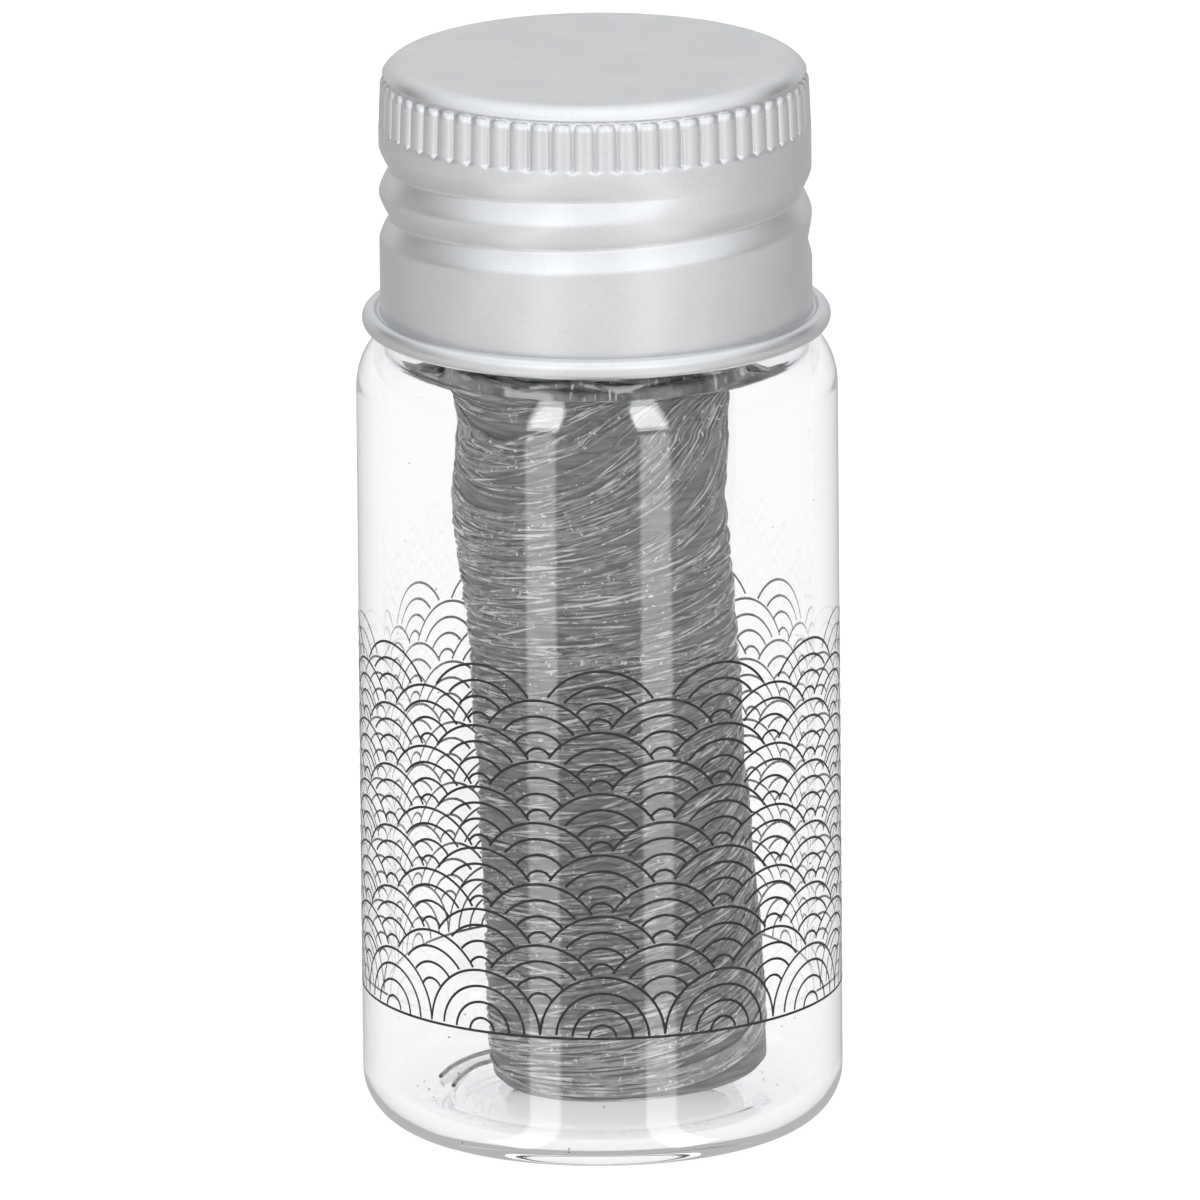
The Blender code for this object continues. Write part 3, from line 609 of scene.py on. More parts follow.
vial_outline += arc((bore_radius + RIM_RADIUS, rim_centre), *inner_rim)
bore_round = (BORE_ROUND, BORE_ROUND, HALF_TURN, HALF_TURN + INNER_SLOPE, BORE_STEPS)
vial_outline += arc((bore_radius + BORE_ROUND, bore_end), *bore_round)
inner_shoulder = (inner_across, inner_up, inner_turn, 0.0, INNER_SHOULDER_STEPS)
vial_outline += arc((neck_foot, shoulder_foot), *inner_shoulder)
inner_heel_round = (inner_heel, inner_heel, 0.0, -QUARTER_TURN, INNER_HEEL_STEPS)
vial_outline += arc((vial_inner_radius - inner_heel, BASE_EDGE_HEIGHT + inner_heel), *inner_heel_round)
vial_outline += [(ring_inner, BASE_EDGE_HEIGHT), (ring_inner - BASE_SLOPE_RUN, VIAL_BASE - BASE_CROWN)]
vial_outline.append((0.0, VIAL_BASE))

vial_shape = turn_on_axis(vial_outline, VIAL_STEPS)
for vertex in vial_shape.verts:
    on_neck = math.hypot(vertex.co.x, vertex.co.y) > NECK_RADIUS - MERGE_DISTANCE
    if on_neck and vertex.co.z > shoulder_height + NECK_FILLET:
        near = near_helix(vertex, THREAD_DATUM, RIDGE_FROM, RIDGE_TO, RIDGE_FADE, RIDGE_HALF_WIDTH)
        move_out(vertex, THREAD_HEIGHT * math.sin(near * QUARTER_TURN) ** 2)

# Clear glass with faint waves left by drawing the tube. Light from lamps goes straight through.
GLASS_TINT = screen_colour(248, 248, 249)
GLASS_SHADOW = screen_colour(248, 248, 249)
GLASS_IOR = 1.5
LAST_BOUNCE = 2.5
WAVE_LENGTH = 14.0 * MM
WAVE_HEIGHT = 0.2 * MM
WAVE_EMBOSS = 0.25

glass_finish, glass_nodes, glass_shader = finish(
    "vial_glass", Base_Color=GLASS_TINT, Roughness=0.0, IOR=GLASS_IOR, Transmission_Weight=1.0
)
waves = glass_nodes.node("TexCoord", output="Object").grains(WAVE_LENGTH, 1.0)
waves.emboss(glass_shader, WAVE_HEIGHT, WAVE_EMBOSS)
lamp_rays = glass_nodes.node("LightPath", output="Is Shadow Ray")
soft_rays = glass_nodes.node("LightPath", output="Is Diffuse Ray")
glass_bounces = glass_nodes.node("LightPath", output="Glossy Depth")
trapped = glass_nodes.maths("GREATER_THAN", glass_bounces, LAST_BOUNCE)
through = glass_nodes.maths("MAXIMUM", glass_nodes.maths("MAXIMUM", lamp_rays, soft_rays), trapped)
straight = glass_nodes.node("BsdfTransparent", inputs={"Color": GLASS_SHADOW})
clear = Shade(glass_finish.node_tree, glass_shader.outputs["BSDF"])
glass_output = glass_finish.node_tree.nodes["Material Output"]
glass_nodes.node("MixShader", inputs={0: through, 1: clear, 2: straight}).feed(glass_output, "Surface")

vial = piece_of(mesh_from(vial_shape, "vial_glass_body"), glass_finish, "vial")
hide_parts("glass_vial")


# The print: a band of thin black lines of ink, fired on the outside of the glass, all the way round. It is a
# plain pattern of overlapping scallops, with one closing line at its foot.
SCALLOPS_ROUND = 12
SCALLOP_ROWS = 11
BAND_FOOT = 6.6 * MM
LINE_WIDTH = 0.12 * MM
LINE_HEIGHT = 0.01 * MM
LINE_SIDES = 4
SCALLOP_SHARES = (1.0, 0.74, 0.48, 0.22)
SMALLEST_FINE_SHARE = 0.3
LINE_STEP = angle(6.0)
SCALLOP_FROM = angle(-40.0)
SCALLOP_TO = angle(220.0)
FOOT_LINE_STEPS = 240

scallop_radius = math.pi * vial_high.x / SCALLOPS_ROUND
row_rise = scallop_radius / 2


def hidden_by_front(place, centre, row):
    """True where a scallop of a lower row covers this place."""
    for lower in range(1, row + 1):
        shift = scallop_radius if lower % 2 else 0.0
        height = centre.y - lower * row_rise
        for column in (-1, 0, 1):
            front = Vector((centre.x + shift + 2 * column * scallop_radius, height))
            if (place - front).length < scallop_radius - MERGE_DISTANCE:
                return True
    return False


def scallop_strokes(centre, share, row):
    """The strokes of one arc of a scallop, broken where a lower row covers it."""
    stride = LINE_STEP if share > SMALLEST_FINE_SHARE else 2 * LINE_STEP
    strokes = []
    stroke = []
    turn = SCALLOP_FROM
    while turn < SCALLOP_TO + LINE_STEP:
        place = centre + Vector((math.cos(turn), math.sin(turn))) * scallop_radius * share
        shown_here = place.y > BAND_FOOT - MERGE_DISTANCE and not hidden_by_front(place, centre, row)
        if shown_here:
            stroke.append(place.to_3d())
        if not shown_here or turn >= SCALLOP_TO:
            strokes.append(stroke)
            stroke = []
        turn += stride
    return [stroke for stroke in strokes if len(stroke) > 2]


print_lines = []
for row in range(SCALLOP_ROWS):
    for column in range(SCALLOPS_ROUND):
        centre = Vector(((2 * column + row % 2) * scallop_radius, BAND_FOOT + row * row_rise))
        for share in SCALLOP_SHARES:
            for stroke in scallop_strokes(centre, share, row):
                print_lines.append((stroke, [1.0] * len(stroke), 0.0))
foot_step = 2 * math.pi * vial_high.x / FOOT_LINE_STEPS
foot_line = [Vector((foot_step * step, BAND_FOOT, 0.0)) for step in range(FOOT_LINE_STEPS + 1)]
print_lines.append((foot_line, [1.0] * len(foot_line), 0.0))

print_mesh = tubes("vial_print", print_lines, LINE_WIDTH / 2, LINE_SIDES)
for vertex in print_mesh.vertices:
    turn = vertex.co.x / vial_high.x
    radius = vial_high.x - LINE_HEIGHT + vertex.co.z / LINE_WIDTH * LINE_HEIGHT
    vertex.co = (radius * math.cos(turn), radius * math.sin(turn), vertex.co.y)

INK_BLACK = screen_colour(32, 31, 32)
INK_THIN = screen_colour(58, 57, 58)
INK_PATCH = 0.9 * MM
INK_RANGE = (0.52, 0.75)
ink_finish, ink_nodes, ink_shader = finish("print_ink", Roughness=0.42)
ink_patches = ink_nodes.node("TexCoord", output="Object").grains(INK_PATCH, 3.0)
ink_patches.rise(*INK_RANGE).blend(INK_BLACK, INK_THIN).feed(ink_shader, "Base Color")
piece_of(print_mesh, ink_finish, "vial")


# The floss package: one long waxed thread wound slantwise on itself, layer over layer, into a soft lumpy
# roll. Its outermost strands are modelled one by one over a darker body. Lengths here are in millimetres.
PACKAGE_LENGTH = 39.0
PACKAGE_GIRTH = [
    (0.0, 6.1),
    (0.35, 6.42),
    (1.2, 6.46),
    (5.0, 6.38),
    (11.0, 6.22),
    (19.5, 6.12),
    (24.0, 6.25),
    (27.6, 6.36),
    (31.0, 6.26),
    (34.0, 6.1),
    (36.0, 6.0),
    (38.0, 5.95),
    (38.7, 5.6),
    (39.0, 5.1),
]
PACKAGE_SWAY = [(0.0, -0.1), (20.0, -0.05), (26.5, -0.16), (31.0, 0.24), (39.0, 0.22)]
PACKAGE_BORE = 1.2
LUMP_HEIGHT = 0.13
LUMPS_ROUND = 1.4
LUMPS_UP = 0.22
BODY_TOP_ROWS = (39.0, 38.85)
BODY_ROWS = (38.7, 0.35)
BODY_FOOT_ROWS = (0.15, 0.0)
BODY_ROW = 0.6
BODY_STEPS = 120
BODY_INSET = 0.13
STRAND_COUNT = 900
STRAND_SEED = 11
STRAND_RADIUS = 0.085
STRAND_SIDES = 6
STRAND_STEP = 0.6
STRAND_LENGTHS = (7.0, 32.0)
STRAND_STARTS = (-2.5, 38.6)
STRAND_FOOT_START = 1.6
STRAND_BATCHES = 4
STRAND_TAPER = 6
STRAND_SINK = 0.3
STRAND_MARGIN = 0.12
STRAND_THICKNESS = (0.7, 0.8, 0.9, 1.0, 1.25)
STRAND_SWAY = angle(5.0)
STRAND_MAP_STARTS = (0.0, 900.0)
LAYER_LOW = -0.17
LAYER_HIGH = -0.05
TOP_SLOPE_HEIGHTS = (23.0, 30.0)
TOP_SLOPE_DEGREES = (12.5, 27.5, -12.0)
MIDDLE_SLOPE = angle(4.0)
FOOT_SLOPE_HEIGHTS = (13.0, 20.0)
FOOT_SLOPE_DEGREES = (11.0, 7.0)
FOOT_SLOPE_TURN = 1.0

spin_joint = next(joint for joint in frame["joints"] if joint["name"] == "package_spin")
package_foot = Vector(spin_joint["pos_m"])
package_axis = Vector(spin_joint["axis"])
package_lean = Vector((0.0, 0.0, 1.0)).rotation_difference(package_axis).to_matrix().to_4x4()
package_place = Matrix.Translation(package_foot) @ package_lean @ Matrix.Scale(MM, 4)


def smooth_share(value, low, high):
    share = min(1.0, max(0.0, (value - low) / (high - low)))
    return share * share * (3 - 2 * share)


def between(stations, height):
    """The value at a height, from a list of (height, value) stations."""
    for (low, near), (high, far) in zip(stations, stations[1:]):
        if height <= high:
            share = min(1.0, max(0.0, (height - low) / (high - low)))
            return near + (far - near) * share
    return stations[-1][1]


def on_package(turn, height, layer):
    """A point on the package's lumpy side, in the vial's frame."""
    around = (LUMPS_ROUND * math.cos(turn), LUMPS_ROUND * math.sin(turn), LUMPS_UP * height)
    lump = noise.noise(Vector(around))
    radius = between(PACKAGE_GIRTH, height) + LUMP_HEIGHT * lump + layer
    sway = between(PACKAGE_SWAY, height)
    return package_place @ Vector((radius * math.cos(turn) + sway, radius * math.sin(turn), height))


def strand_slope(turn, height):
    """How steeply the strands climb, by where they lie: fanned out at the top, flat in the middle."""
    mean, aside, front = TOP_SLOPE_DEGREES
    top = angle(mean + aside * math.cos(turn) + front * math.sin(turn))
    foot_mean, foot_swing = FOOT_SLOPE_DEGREES
    foot = angle(foot_mean + foot_swing * math.cos(2 * turn + FOOT_SLOPE_TURN))
    top_share = smooth_share(height, *TOP_SLOPE_HEIGHTS)
    foot_share = 1 - smooth_share(height, *FOOT_SLOPE_HEIGHTS)
    return top * top_share + foot * foot_share + MIDDLE_SLOPE * (1 - top_share - foot_share)


def strand_line(draw, layer):
    """One strand's way round the package, sunk at both ends."""
    length = draw.uniform(*STRAND_LENGTHS)
    count = round(length / STRAND_STEP)
    turn = draw.uniform(-math.pi, math.pi)
    height = draw.uniform(*STRAND_STARTS)
    height = max(height, draw.uniform(STRAND_MARGIN, STRAND_FOOT_START))
    sway = draw.gauss(0.0, STRAND_SWAY)
    start = draw.uniform(*STRAND_MAP_STARTS)
    thick = draw.choice(STRAND_THICKNESS)
    points = []
    thickness = []
    for step in range(count + 1):
        ends = min(1.0, step / STRAND_TAPER, (count - step) / STRAND_TAPER)
        slope = strand_slope(turn, height) + sway
        points.append(on_package(turn, height, layer - STRAND_SINK * (1 - ends)))
        thickness.append(thick * ends)
        height += STRAND_STEP * math.sin(slope)
        height = min(max(height, STRAND_MARGIN), PACKAGE_LENGTH - STRAND_MARGIN)
        turn += STRAND_STEP * math.cos(slope) / between(PACKAGE_GIRTH, height)
    return points, thickness, start


body_heights = [*BODY_TOP_ROWS, *rows(*BODY_ROWS, BODY_ROW), *BODY_FOOT_ROWS]
body_outline = [(PACKAGE_BORE, PACKAGE_LENGTH)]
body_outline += [(between(PACKAGE_GIRTH, height), height) for height in body_heights]
body_outline += [(PACKAGE_BORE, 0.0), (PACKAGE_BORE, PACKAGE_LENGTH)]
body_shape = turn_on_axis(body_outline, BODY_STEPS)
for vertex in body_shape.verts:
    if math.hypot(vertex.co.x, vertex.co.y) > 2 * PACKAGE_BORE:
        vertex.co = on_package(math.atan2(vertex.co.y, vertex.co.x), vertex.co.z, -BODY_INSET)
    else:
        vertex.co = package_place @ vertex.co
package_body_mesh = mesh_from(body_shape, "package_body")

# The body's finish: the same floss in the shade of the strands above it, as a fine flat grain.
BODY_DARK = screen_colour(84, 86, 86)
BODY_GREY = screen_colour(126, 128, 127)
BODY_RANGE = (0.3, 0.7)
BODY_STRETCH = (500.0, 500.0, 5200.0)
BODY_RELIEF = 0.08 * MM
BODY_EMBOSS = 0.8

body_finish, body_nodes, body_shader = finish("floss_body", Roughness=0.6)
body_stretch = {"Vector": body_nodes.node("TexCoord", output="Object"), "Scale": BODY_STRETCH}
body_threads = body_nodes.node("Mapping", {"vector_type": "POINT"}, body_stretch).grains(1.0, 4.0)
body_threads.rise(*BODY_RANGE).blend(BODY_DARK, BODY_GREY).feed(body_shader, "Base Color")
body_threads.emboss(body_shader, BODY_RELIEF, BODY_EMBOSS)
package_body = piece_of(package_body_mesh, body_finish, "package")
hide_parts("floss_package")

strand_draw = random.Random(STRAND_SEED)
strands = []
for index in range(STRAND_COUNT):
    layer = LAYER_LOW + (LAYER_HIGH - LAYER_LOW) * index / STRAND_COUNT
    strands.append(strand_line(strand_draw, layer))
for batch in range(STRAND_BATCHES):
    lines = strands[batch::STRAND_BATCHES]
    strand_mesh = tubes(f"wound_strands_{batch + 1}", lines, STRAND_RADIUS * MM, STRAND_SIDES)
    wound = piece_of(strand_mesh, floss_finish, "package")
    if batch == 0:
        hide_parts("floss_outer_turns")


# Loose floss: the package's last turns have slipped up and lie slack in the vial's shoulder, and two short
# ends that were cut off lie beside the package on the vial's base.
SLACK_COUNT = 130
SLACK_SEED = 23
SLACK_LENGTHS = (8.0, 26.0)
SLACK_INSIDE = 6.8
SLACK_OUTSIDE = 8.5
SLACK_TOP = 36.93
SLACK_SLOPE = 0.38
SLACK_DEPTH = 0.5
SLACK_WAVES = 0.16
WAVES_PER_STEP = 0.22
LIFT_SEED = 9.0
SLACK_TIP = 0.4
CUT_END_THICKNESS = 1.3
CUT_END_MAP_START = 40.0
CUT_ENDS = (
    ((-7.6, 2.4, 1.28), (-7.1, 4.1, 1.28), (-6.2, 5.7, 1.28), (-4.9, 7.0, 1.28)),
    ((-6.9, 0.6, 1.34), (-6.6, 2.3, 1.34), (-5.9, 4.0, 1.34), (-4.6, 5.3, 1.34)),
)

package_offset = (package_place @ Vector((0.0, 0.0, SLACK_TOP))).x / MM
slack_draw = random.Random(SLACK_SEED)
slack_lines = []
for index in range(SLACK_COUNT):
    count = round(slack_draw.uniform(*SLACK_LENGTHS) / STRAND_STEP)
    turn = slack_draw.uniform(-math.pi, math.pi)
    share = index / SLACK_COUNT
    drop = SLACK_SLOPE * (SLACK_OUTSIDE - SLACK_INSIDE) * share
    height = SLACK_TOP - drop - slack_draw.uniform(0.0, SLACK_DEPTH)
    seed = slack_draw.uniform(*STRAND_MAP_STARTS)
    points = []
    thickness = []
    for step in range(count + 1):
        ends = min(1.0, step / STRAND_TAPER, (count - step) / STRAND_TAPER)
        wave = SLACK_WAVES * noise.noise(Vector((WAVES_PER_STEP * step, seed, 0.0)))
        lift = SLACK_WAVES * noise.noise(Vector((WAVES_PER_STEP * step, seed, LIFT_SEED)))
        inside = SLACK_INSIDE + package_offset * math.cos(turn)
        radius = inside + (SLACK_OUTSIDE - inside) * share + wave
        points.append(Vector((radius * math.cos(turn), radius * math.sin(turn), height + lift)) * MM)
        thickness.append(SLACK_TIP + (1 - SLACK_TIP) * ends)
        turn += STRAND_STEP / radius
    slack_lines.append((points, thickness, seed))
for knots in CUT_ENDS:
    route = smooth_route([Vector(knot) * MM for knot in knots], ROUTE_STEPS)
    slack_lines.append((route, [CUT_END_THICKNESS] * len(route), CUT_END_MAP_START))
slack_mesh = tubes("loose_floss", slack_lines, STRAND_RADIUS * MM, STRAND_SIDES)
piece_of(slack_mesh, floss_finish, "vial")


# Crumbs: tiny bits of wax and lint that rubbed off the floss. Most stick to the inside of the glass, and
# the others lie on its base, round the package.
CRUMB_COUNT = 120
CRUMB_SEED = 5
CRUMB_RADIUS = 0.035 * MM
CRUMB_SIDES = 6
CRUMB_LENGTHS = (0.03, 0.16)
CRUMB_ENDS = [0.4, 1.0, 0.4]
CRUMB_GAP = 0.02 * MM
WALL_CRUMBS_SHARE = 0.6
WALL_CRUMB_HEIGHTS = (2.6, 33.0)
WALL_CRUMB_RISE = 1.5
BASE_CRUMB_RADII = (7.4, 9.0)

crumb_draw = random.Random(CRUMB_SEED)
crumbs = []
for index in range(CRUMB_COUNT):
    turn = crumb_draw.uniform(0.0, FULL_TURN)
    reach = crumb_draw.uniform(*CRUMB_LENGTHS) * MM
    if index < WALL_CRUMBS_SHARE * CRUMB_COUNT:
        radius = vial_inner_radius - CRUMB_GAP
        height = crumb_draw.uniform(*WALL_CRUMB_HEIGHTS) * MM
        rise = crumb_draw.uniform(-WALL_CRUMB_RISE, WALL_CRUMB_RISE)
        lie = Vector((-math.sin(turn), math.cos(turn), rise))
    else:
        radius = crumb_draw.uniform(*BASE_CRUMB_RADII) * MM
        height = BASE_EDGE_HEIGHT + 2 * CRUMB_GAP
        lie = Vector((crumb_draw.uniform(-1.0, 1.0), crumb_draw.uniform(-1.0, 1.0), 0.0))
    spot = Vector((radius * math.cos(turn), radius * math.sin(turn), height))
    lie.normalize()
    crumbs.append(([spot, spot + lie * reach / 2, spot + lie * reach], CRUMB_ENDS, 0.0))
crumb_mesh = tubes("wax_crumbs", crumbs, CRUMB_RADIUS, CRUMB_SIDES)
crumb_finish, _, _ = finish("crumb_grey", Base_Color=screen_colour(122, 124, 126), Roughness=0.6)
piece_of(crumb_mesh, crumb_finish, "vial")


# The insert: a cup of thin bright steel pressed into the neck. Its floor has the floss hole and a lanced
# tongue, bent up towards the hole, that cuts the floss.
INSERT_SHEET = 0.3 * MM
INSERT_BEND = 0.5 * MM
INSERT_PLAY = 0.2 * MM
HOLE_RADIUS = 1.3 * MM
CUTTER_NEAR = 2.3 * MM
CUTTER_FAR = 5.3 * MM
CUTTER_HALF_WIDTH = 0.85 * MM
CUTTER_SLOT = 0.3 * MM
CUTTER_RISE = angle(22.0)
CUTTER_LENGTH = 2.7 * MM
CUTTER_STEPS = 5
CUTTER_BEND_STEPS = 2
CUTTER_STRAIGHT_STEPS = 3
CUTTER_TAPER = 0.82
ROOT_TOLERANCE = 0.01 * MM
INSERT_STEPS = 144
INSERT_BEND_STEPS = 8

insert_low, insert_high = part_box("dispensing_insert")
floor_top = insert_low.z + INSERT_SHEET
insert_wall = bore_radius - INSERT_PLAY - INSERT_SHEET
floor_bend = (INSERT_BEND, INSERT_BEND, -QUARTER_TURN, 0.0, INSERT_BEND_STEPS)
flange_bend = (INSERT_BEND, INSERT_BEND, HALF_TURN, QUARTER_TURN, INSERT_BEND_STEPS)
insert_outline = [(HOLE_RADIUS, floor_top)]
insert_outline += arc((insert_wall - INSERT_BEND, floor_top + INSERT_BEND), *floor_bend)
insert_outline += arc((insert_wall + INSERT_BEND, insert_high.z - INSERT_BEND), *flange_bend)
insert_outline.append((insert_high.x, insert_high.z))
insert_shape = turn_on_axis(insert_outline, INSERT_STEPS)


def in_floor(face):
    return face.calc_center_median().z < floor_top + MERGE_DISTANCE


def cut_floor(place, normal):
    """Cuts the floor's faces along a plane, so that the tongue's window has edges of its own."""
    floor_faces = [face for face in insert_shape.faces if in_floor(face)]
    parts = set(floor_faces)
    for face in floor_faces:
        parts.update(face.edges)
        parts.update(face.verts)
    plane = {"plane_co": place, "plane_no": normal}
    bmesh.ops.bisect_plane(insert_shape, geom=list(parts), dist=MERGE_DISTANCE, **plane)


window_half = CUTTER_HALF_WIDTH + CUTTER_SLOT
for aside in (window_half, -window_half, CUTTER_HALF_WIDTH, -CUTTER_HALF_WIDTH):
    cut_floor((aside, 0.0, 0.0), (1.0, 0.0, 0.0))
for forward in (CUTTER_NEAR, CUTTER_FAR):
    cut_floor((0.0, -forward, 0.0), (0.0, 1.0, 0.0))
window = []
for face in insert_shape.faces:
    middle = face.calc_center_median()
    in_window = abs(middle.x) < window_half and -CUTTER_FAR < middle.y < -CUTTER_NEAR
    if in_window and in_floor(face):
        window.append(face)
bmesh.ops.delete(insert_shape, geom=window, context="FACES")


def at_root(vertex):
    """True on the line where the tongue bends up out of the floor."""
    aside, forward, height = vertex.co
    on_line = abs(forward + CUTTER_FAR) < ROOT_TOLERANCE and abs(height - floor_top) < ROOT_TOLERANCE
    return on_line and abs(aside) < CUTTER_HALF_WIDTH + ROOT_TOLERANCE


root = []
for edge in insert_shape.edges:
    if edge.is_boundary and all(at_root(vertex) for vertex in edge.verts):
        root.append(edge)
for step in range(CUTTER_STEPS):
    grown = bmesh.ops.extrude_edge_only(insert_shape, edges=root)["geom"]
    tip = [element for element in grown if isinstance(element, bmesh.types.BMVert)]
    root = [element for element in grown if isinstance(element, bmesh.types.BMEdge) and element.is_boundary]
    root = [edge for edge in root if all(vertex in tip for vertex in edge.verts)]
    rise = CUTTER_RISE * min(1.0, (step + 1) / CUTTER_BEND_STEPS)
    stride = CUTTER_LENGTH / CUTTER_STEPS
    bmesh.ops.translate(
        insert_shape, verts=tip, vec=(0.0, stride * math.cos(rise), stride * math.sin(rise))
    )
    if step >= CUTTER_STRAIGHT_STEPS:
        bmesh.ops.scale(insert_shape, vec=(CUTTER_TAPER, 1.0, 1.0), verts=tip)
insert_mesh = mesh_from(insert_shape, "insert_sheet")

# Bright pressed steel, with the fine uneven gloss of sheet from the roll.
STEEL_BRIGHT = screen_colour(206, 207, 209)
STEEL_DULL = screen_colour(190, 191, 193)
STEEL_GRAIN = 0.25 * MM
STEEL_RANGE = (0.2, 0.8)
STEEL_ROUGHNESS = 0.2
STEEL_UNEVENNESS = 0.14
STEEL_RELIEF = 0.01 * MM
STEEL_EMBOSS = 0.4

steel_finish, steel_nodes, steel_shader = finish("insert_steel", Metallic=1.0)
steel_grain = steel_nodes.node("TexCoord", output="Object").grains(STEEL_GRAIN, 4.0)
steel_grain.rise(*STEEL_RANGE).blend(STEEL_DULL, STEEL_BRIGHT).feed(steel_shader, "Base Color")
(STEEL_ROUGHNESS + steel_grain * STEEL_UNEVENNESS).feed(steel_shader, "Roughness")
steel_grain.emboss(steel_shader, STEEL_RELIEF, STEEL_EMBOSS)
insert = piece_of(insert_mesh, steel_finish, "vial")
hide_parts("dispensing_insert")
sheet_thickness = insert.modifiers.new("sheet", "SOLIDIFY")
sheet_thickness.thickness = INSERT_SHEET
sheet_thickness.offset = -1.0


# The liner: a disc of soft white foamed sheet, punched out and pushed up into the cap. It seals on the
# insert's flange when the cap is screwed down.
LINER_EDGE = 0.12 * MM
LINER_EDGE_STEPS = 4
LINER_STEPS = 128
FOAM_WHITE = screen_colour(240, 240, 237)
FOAM_PALE = screen_colour(222, 222, 218)
FOAM_CELL = 0.18 * MM
FOAM_RANGE = (0.0, 0.8)
FOAM_RELIEF = 0.03 * MM
FOAM_EMBOSS = 0.5

liner_low, liner_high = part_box("cap_liner")
liner_edge_radius = liner_high.x - LINER_EDGE
lower_edge = (LINER_EDGE, LINER_EDGE, -QUARTER_TURN, 0.0, LINER_EDGE_STEPS)
upper_edge = (LINER_EDGE, LINER_EDGE, 0.0, QUARTER_TURN, LINER_EDGE_STEPS)
liner_outline = [(0.0, liner_low.z)]
liner_outline += arc((liner_edge_radius, liner_low.z + LINER_EDGE), *lower_edge)
liner_outline += arc((liner_edge_radius, liner_high.z - LINER_EDGE), *upper_edge)
liner_outline.append((0.0, liner_high.z))
liner_mesh = mesh_from(turn_on_axis(liner_outline, LINER_STEPS), "liner_disc")
foam_finish, foam_nodes, foam_shader = finish("liner_foam", Roughness=0.75)
foam_place = foam_nodes.node("TexCoord", output="Object")
foam_cells = foam_nodes.node("TexVoronoi", inputs={"Vector": foam_place, "Scale": 1 / FOAM_CELL})
foam_cells.rise(*FOAM_RANGE).blend(FOAM_PALE, FOAM_WHITE).feed(foam_shader, "Base Color")
foam_cells.emboss(foam_shader, FOAM_RELIEF, FOAM_EMBOSS)
liner = piece_of(liner_mesh, foam_finish, "liner")
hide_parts("cap_liner")


# The cap: one disc of thin aluminium, drawn into a cup, with the knurls and the thread rolled into its wall
# and its edge curled outwards into a bead.
CAP_WALL = 0.3 * MM
CAP_RADIUS = 9.85 * MM
CAP_CORNER = 1.2 * MM
KNURL_COUNT = 60
KNURL_PHASES = (0.0, 0.045, 0.11, 0.24, 0.5, 0.76, 0.89, 0.955)
KNURL_DEPTH = 0.3 * MM
KNURL_TOP = 49.1 * MM
KNURL_BOTTOM = 46.75 * MM
KNURL_RUN_OUT = 0.25 * MM
RIB_FLATNESS = 2.2
RIB_ROUND = 0.45 * MM
RIB_LEAN = 0.04
RECESS_HEIGHT = 0.14 * MM
ROLL_TOP = 46.5 * MM
ROLL_BOTTOM = 40.2 * MM
ROLL_DATUM = 43.715 * MM
ROLL_FROM = angle(-385.0)
ROLL_TO = angle(312.0)
ROLL_FADE = angle(45.0)
ROLL_HALF_WIDTH = 1.05 * MM
ROLL_DEPTH = 0.5 * MM
ROLL_POWER = 1.3
BEAD_CENTRE = (10.21 * MM, 37.8 * MM)
BEAD_RADIUS = 0.47 * MM
BEAD_EDGE = angle(105.0)
BEAD_STEPS = 20
GUTTER_WIDTH = 0.2 * MM
GUTTER_HEIGHT = 0.28 * MM
CORNER_STEPS = 30
INSIDE_STEPS = 8
RUN_OUT_ROW = 0.05 * MM
OUTSIDE_ROW = 0.1 * MM
INSIDE_ROW = 0.35 * MM
TOP_EDGE_SHARE = 0.9

cap_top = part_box("screw_cap")[1].z
corner_middle = cap_top - CAP_CORNER
corner_centre = (CAP_RADIUS - CAP_CORNER, corner_middle)
inside_radius = CAP_RADIUS - CAP_WALL
inside_corner = CAP_CORNER - CAP_WALL
bead_height = BEAD_CENTRE[1]
bead_top = bead_height + BEAD_RADIUS
gutter_foot = bead_height + GUTTER_HEIGHT
run_out_rows = rows(KNURL_BOTTOM + KNURL_RUN_OUT, KNURL_BOTTOM, RUN_OUT_ROW)
rolled_rows = rows(ROLL_TOP, ROLL_BOTTOM, OUTSIDE_ROW)
skirt_rows = rows(ROLL_BOTTOM, bead_top, INSIDE_ROW)[1:]
gutter_rows = [gutter_foot + OUTSIDE_ROW, gutter_foot]
cap_outline = [(0.0, cap_top), (CAP_RADIUS / 2, cap_top)]
cap_outline += arc(corner_centre, CAP_CORNER, CAP_CORNER, QUARTER_TURN, 0.0, CORNER_STEPS)
cap_outline += [(CAP_RADIUS, height) for height in run_out_rows + rolled_rows + skirt_rows + gutter_rows]
cap_outline.append((CAP_RADIUS + GUTTER_WIDTH, gutter_foot))
cap_outline += arc(BEAD_CENTRE, BEAD_RADIUS, BEAD_RADIUS, BEAD_EDGE, -QUARTER_TURN, BEAD_STEPS)
inner_curl = (BEAD_RADIUS, BEAD_RADIUS, -QUARTER_TURN, -HALF_TURN, INSIDE_STEPS)
cap_outline += arc((inside_radius + BEAD_RADIUS, bead_height), *inner_curl)
inside_rows = rows(corner_middle, bead_height, INSIDE_ROW)[:-1]
cap_outline += [(inside_radius, height) for height in reversed(inside_rows)]
cap_outline += arc(corner_centre, inside_corner, inside_corner, 0.0, QUARTER_TURN, INSIDE_STEPS)[1:]
cap_outline.append((0.0, cap_top - CAP_WALL))
cap_shape = turn_on_axis(cap_outline, KNURL_COUNT * len(KNURL_PHASES))


def plain_radius(height):
    """The radius of the wall's outside before it is rolled."""
    rise = max(0.0, height - corner_middle)
    return CAP_RADIUS - CAP_CORNER + math.sqrt(CAP_CORNER**2 - rise**2)


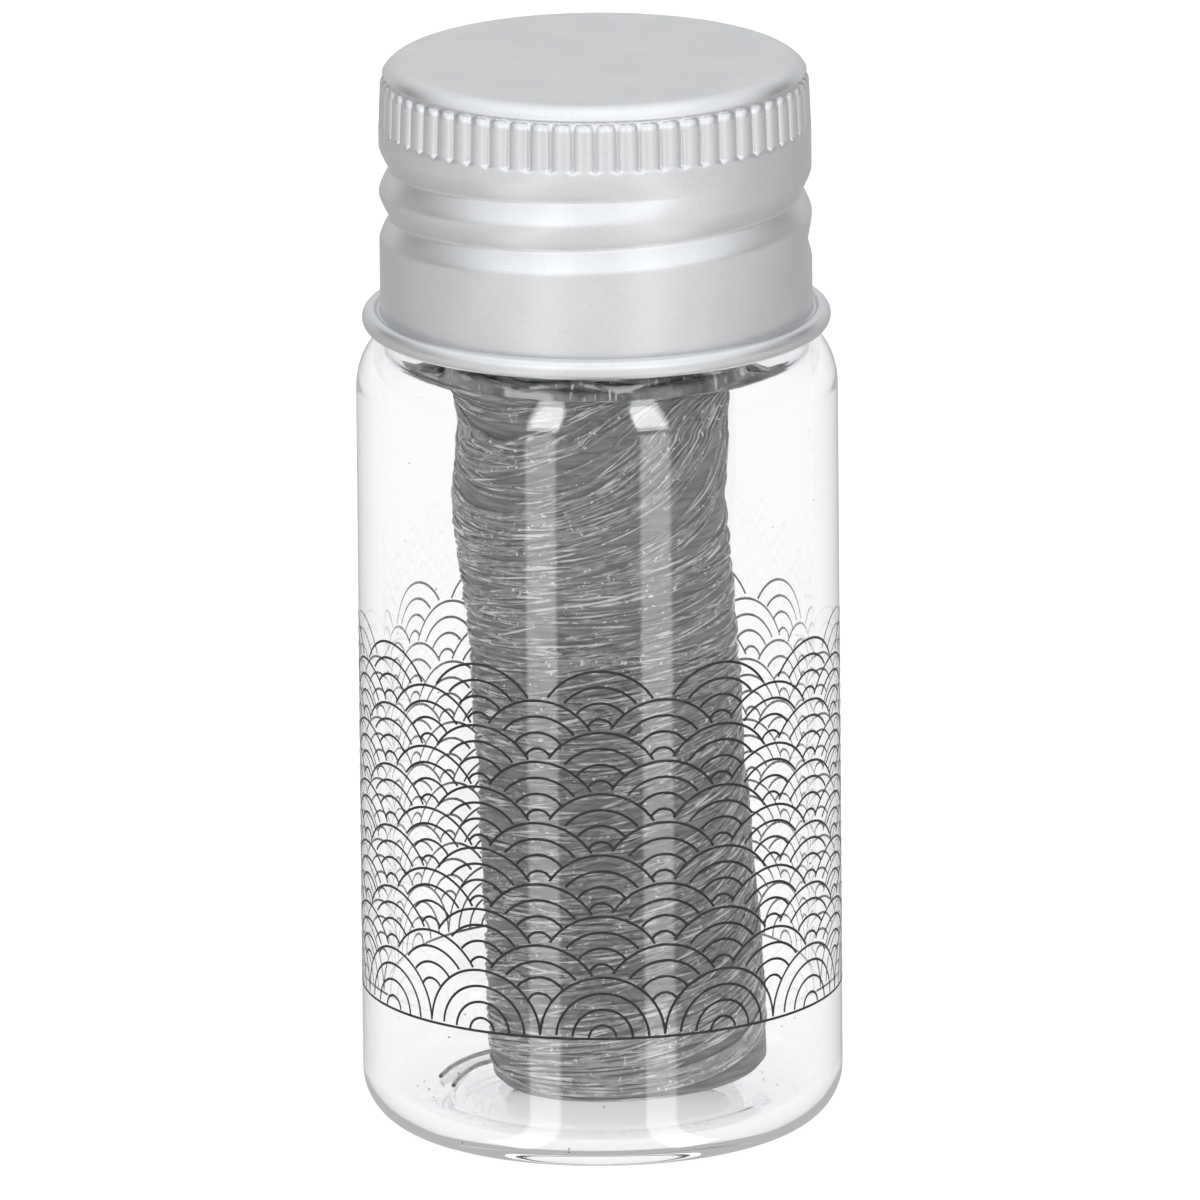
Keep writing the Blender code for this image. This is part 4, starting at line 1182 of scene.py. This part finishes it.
def knurled_radius(height, phase):
    """The radius of the wall's outside among the knurls: ribs with domed tops, in a shallow recess."""
    over_round = max(0.0, (height - KNURL_TOP) / RIB_ROUND + 1)
    rib = math.sqrt(max(0.0, 1 - abs(2 * phase - 1) ** RIB_FLATNESS - over_round**2))
    run_out = smooth_share(height, KNURL_BOTTOM, KNURL_BOTTOM + KNURL_RUN_OUT)
    run_in = 1 - smooth_share(height, KNURL_TOP, KNURL_TOP + RECESS_HEIGHT)
    recess = plain_radius(height) - KNURL_DEPTH * run_out * run_in
    crest = CAP_RADIUS - RIB_LEAN * (height - KNURL_BOTTOM)
    return max(recess, min(plain_radius(height), crest - KNURL_DEPTH * (1 - rib) * run_out))


for vertex in cap_shape.verts:
    radius = math.hypot(vertex.co.x, vertex.co.y)
    height = vertex.co.z
    if radius < TOP_EDGE_SHARE * CAP_RADIUS:
        continue
    round_axis = math.atan2(vertex.co.y, vertex.co.x) / FULL_TURN
    column = round(round_axis * KNURL_COUNT * len(KNURL_PHASES))
    knurl, step = divmod(column, len(KNURL_PHASES))
    turn = (knurl + KNURL_PHASES[step]) / KNURL_COUNT * FULL_TURN
    vertex.co.x, vertex.co.y = radius * math.cos(turn), radius * math.sin(turn)
    if KNURL_BOTTOM < height < KNURL_TOP + RECESS_HEIGHT:
        move_out(vertex, knurled_radius(height, KNURL_PHASES[step]) - plain_radius(height))
    elif bead_top < height < KNURL_BOTTOM:
        near = near_helix(vertex, ROLL_DATUM, ROLL_FROM, ROLL_TO, ROLL_FADE, ROLL_HALF_WIDTH)
        move_out(vertex, -ROLL_DEPTH * near**ROLL_POWER)

# Satin aluminium: fine rolled grain, a little uneven in gloss.
ALUMINIUM_PALE = screen_colour(231, 231, 232)
ALUMINIUM_DULL = screen_colour(219, 220, 222)
GRAIN_SIZE = 0.09 * MM
CLOUD_SIZE = 2.6 * MM
GRAIN_SHARE = 0.6
ALUMINIUM_RANGE = (0.25, 0.75)
ALUMINIUM_ROUGHNESS = 0.27
ALUMINIUM_UNEVENNESS = 0.06
GRAIN_RELIEF = 0.006 * MM
GRAIN_EMBOSS = 0.5

alu_finish, alu_nodes, alu_shader = finish("satin_aluminium", Metallic=1.0)
alu_place = alu_nodes.node("TexCoord", output="Object")
grain = alu_place.grains(GRAIN_SIZE, 2.0)
clouds = alu_place.grains(CLOUD_SIZE, 4.0)
mottle = (clouds * (1 - GRAIN_SHARE) + grain * GRAIN_SHARE).rise(*ALUMINIUM_RANGE)
mottle.blend(ALUMINIUM_DULL, ALUMINIUM_PALE).feed(alu_shader, "Base Color")
unevenness = clouds * ALUMINIUM_UNEVENNESS + grain * ALUMINIUM_UNEVENNESS
(ALUMINIUM_ROUGHNESS + unevenness).feed(alu_shader, "Roughness")
grain.emboss(alu_shader, GRAIN_RELIEF, GRAIN_EMBOSS)
cap = piece_of(mesh_from(cap_shape, "cap_sheet"), alu_finish, "cap")
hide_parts("screw_cap")
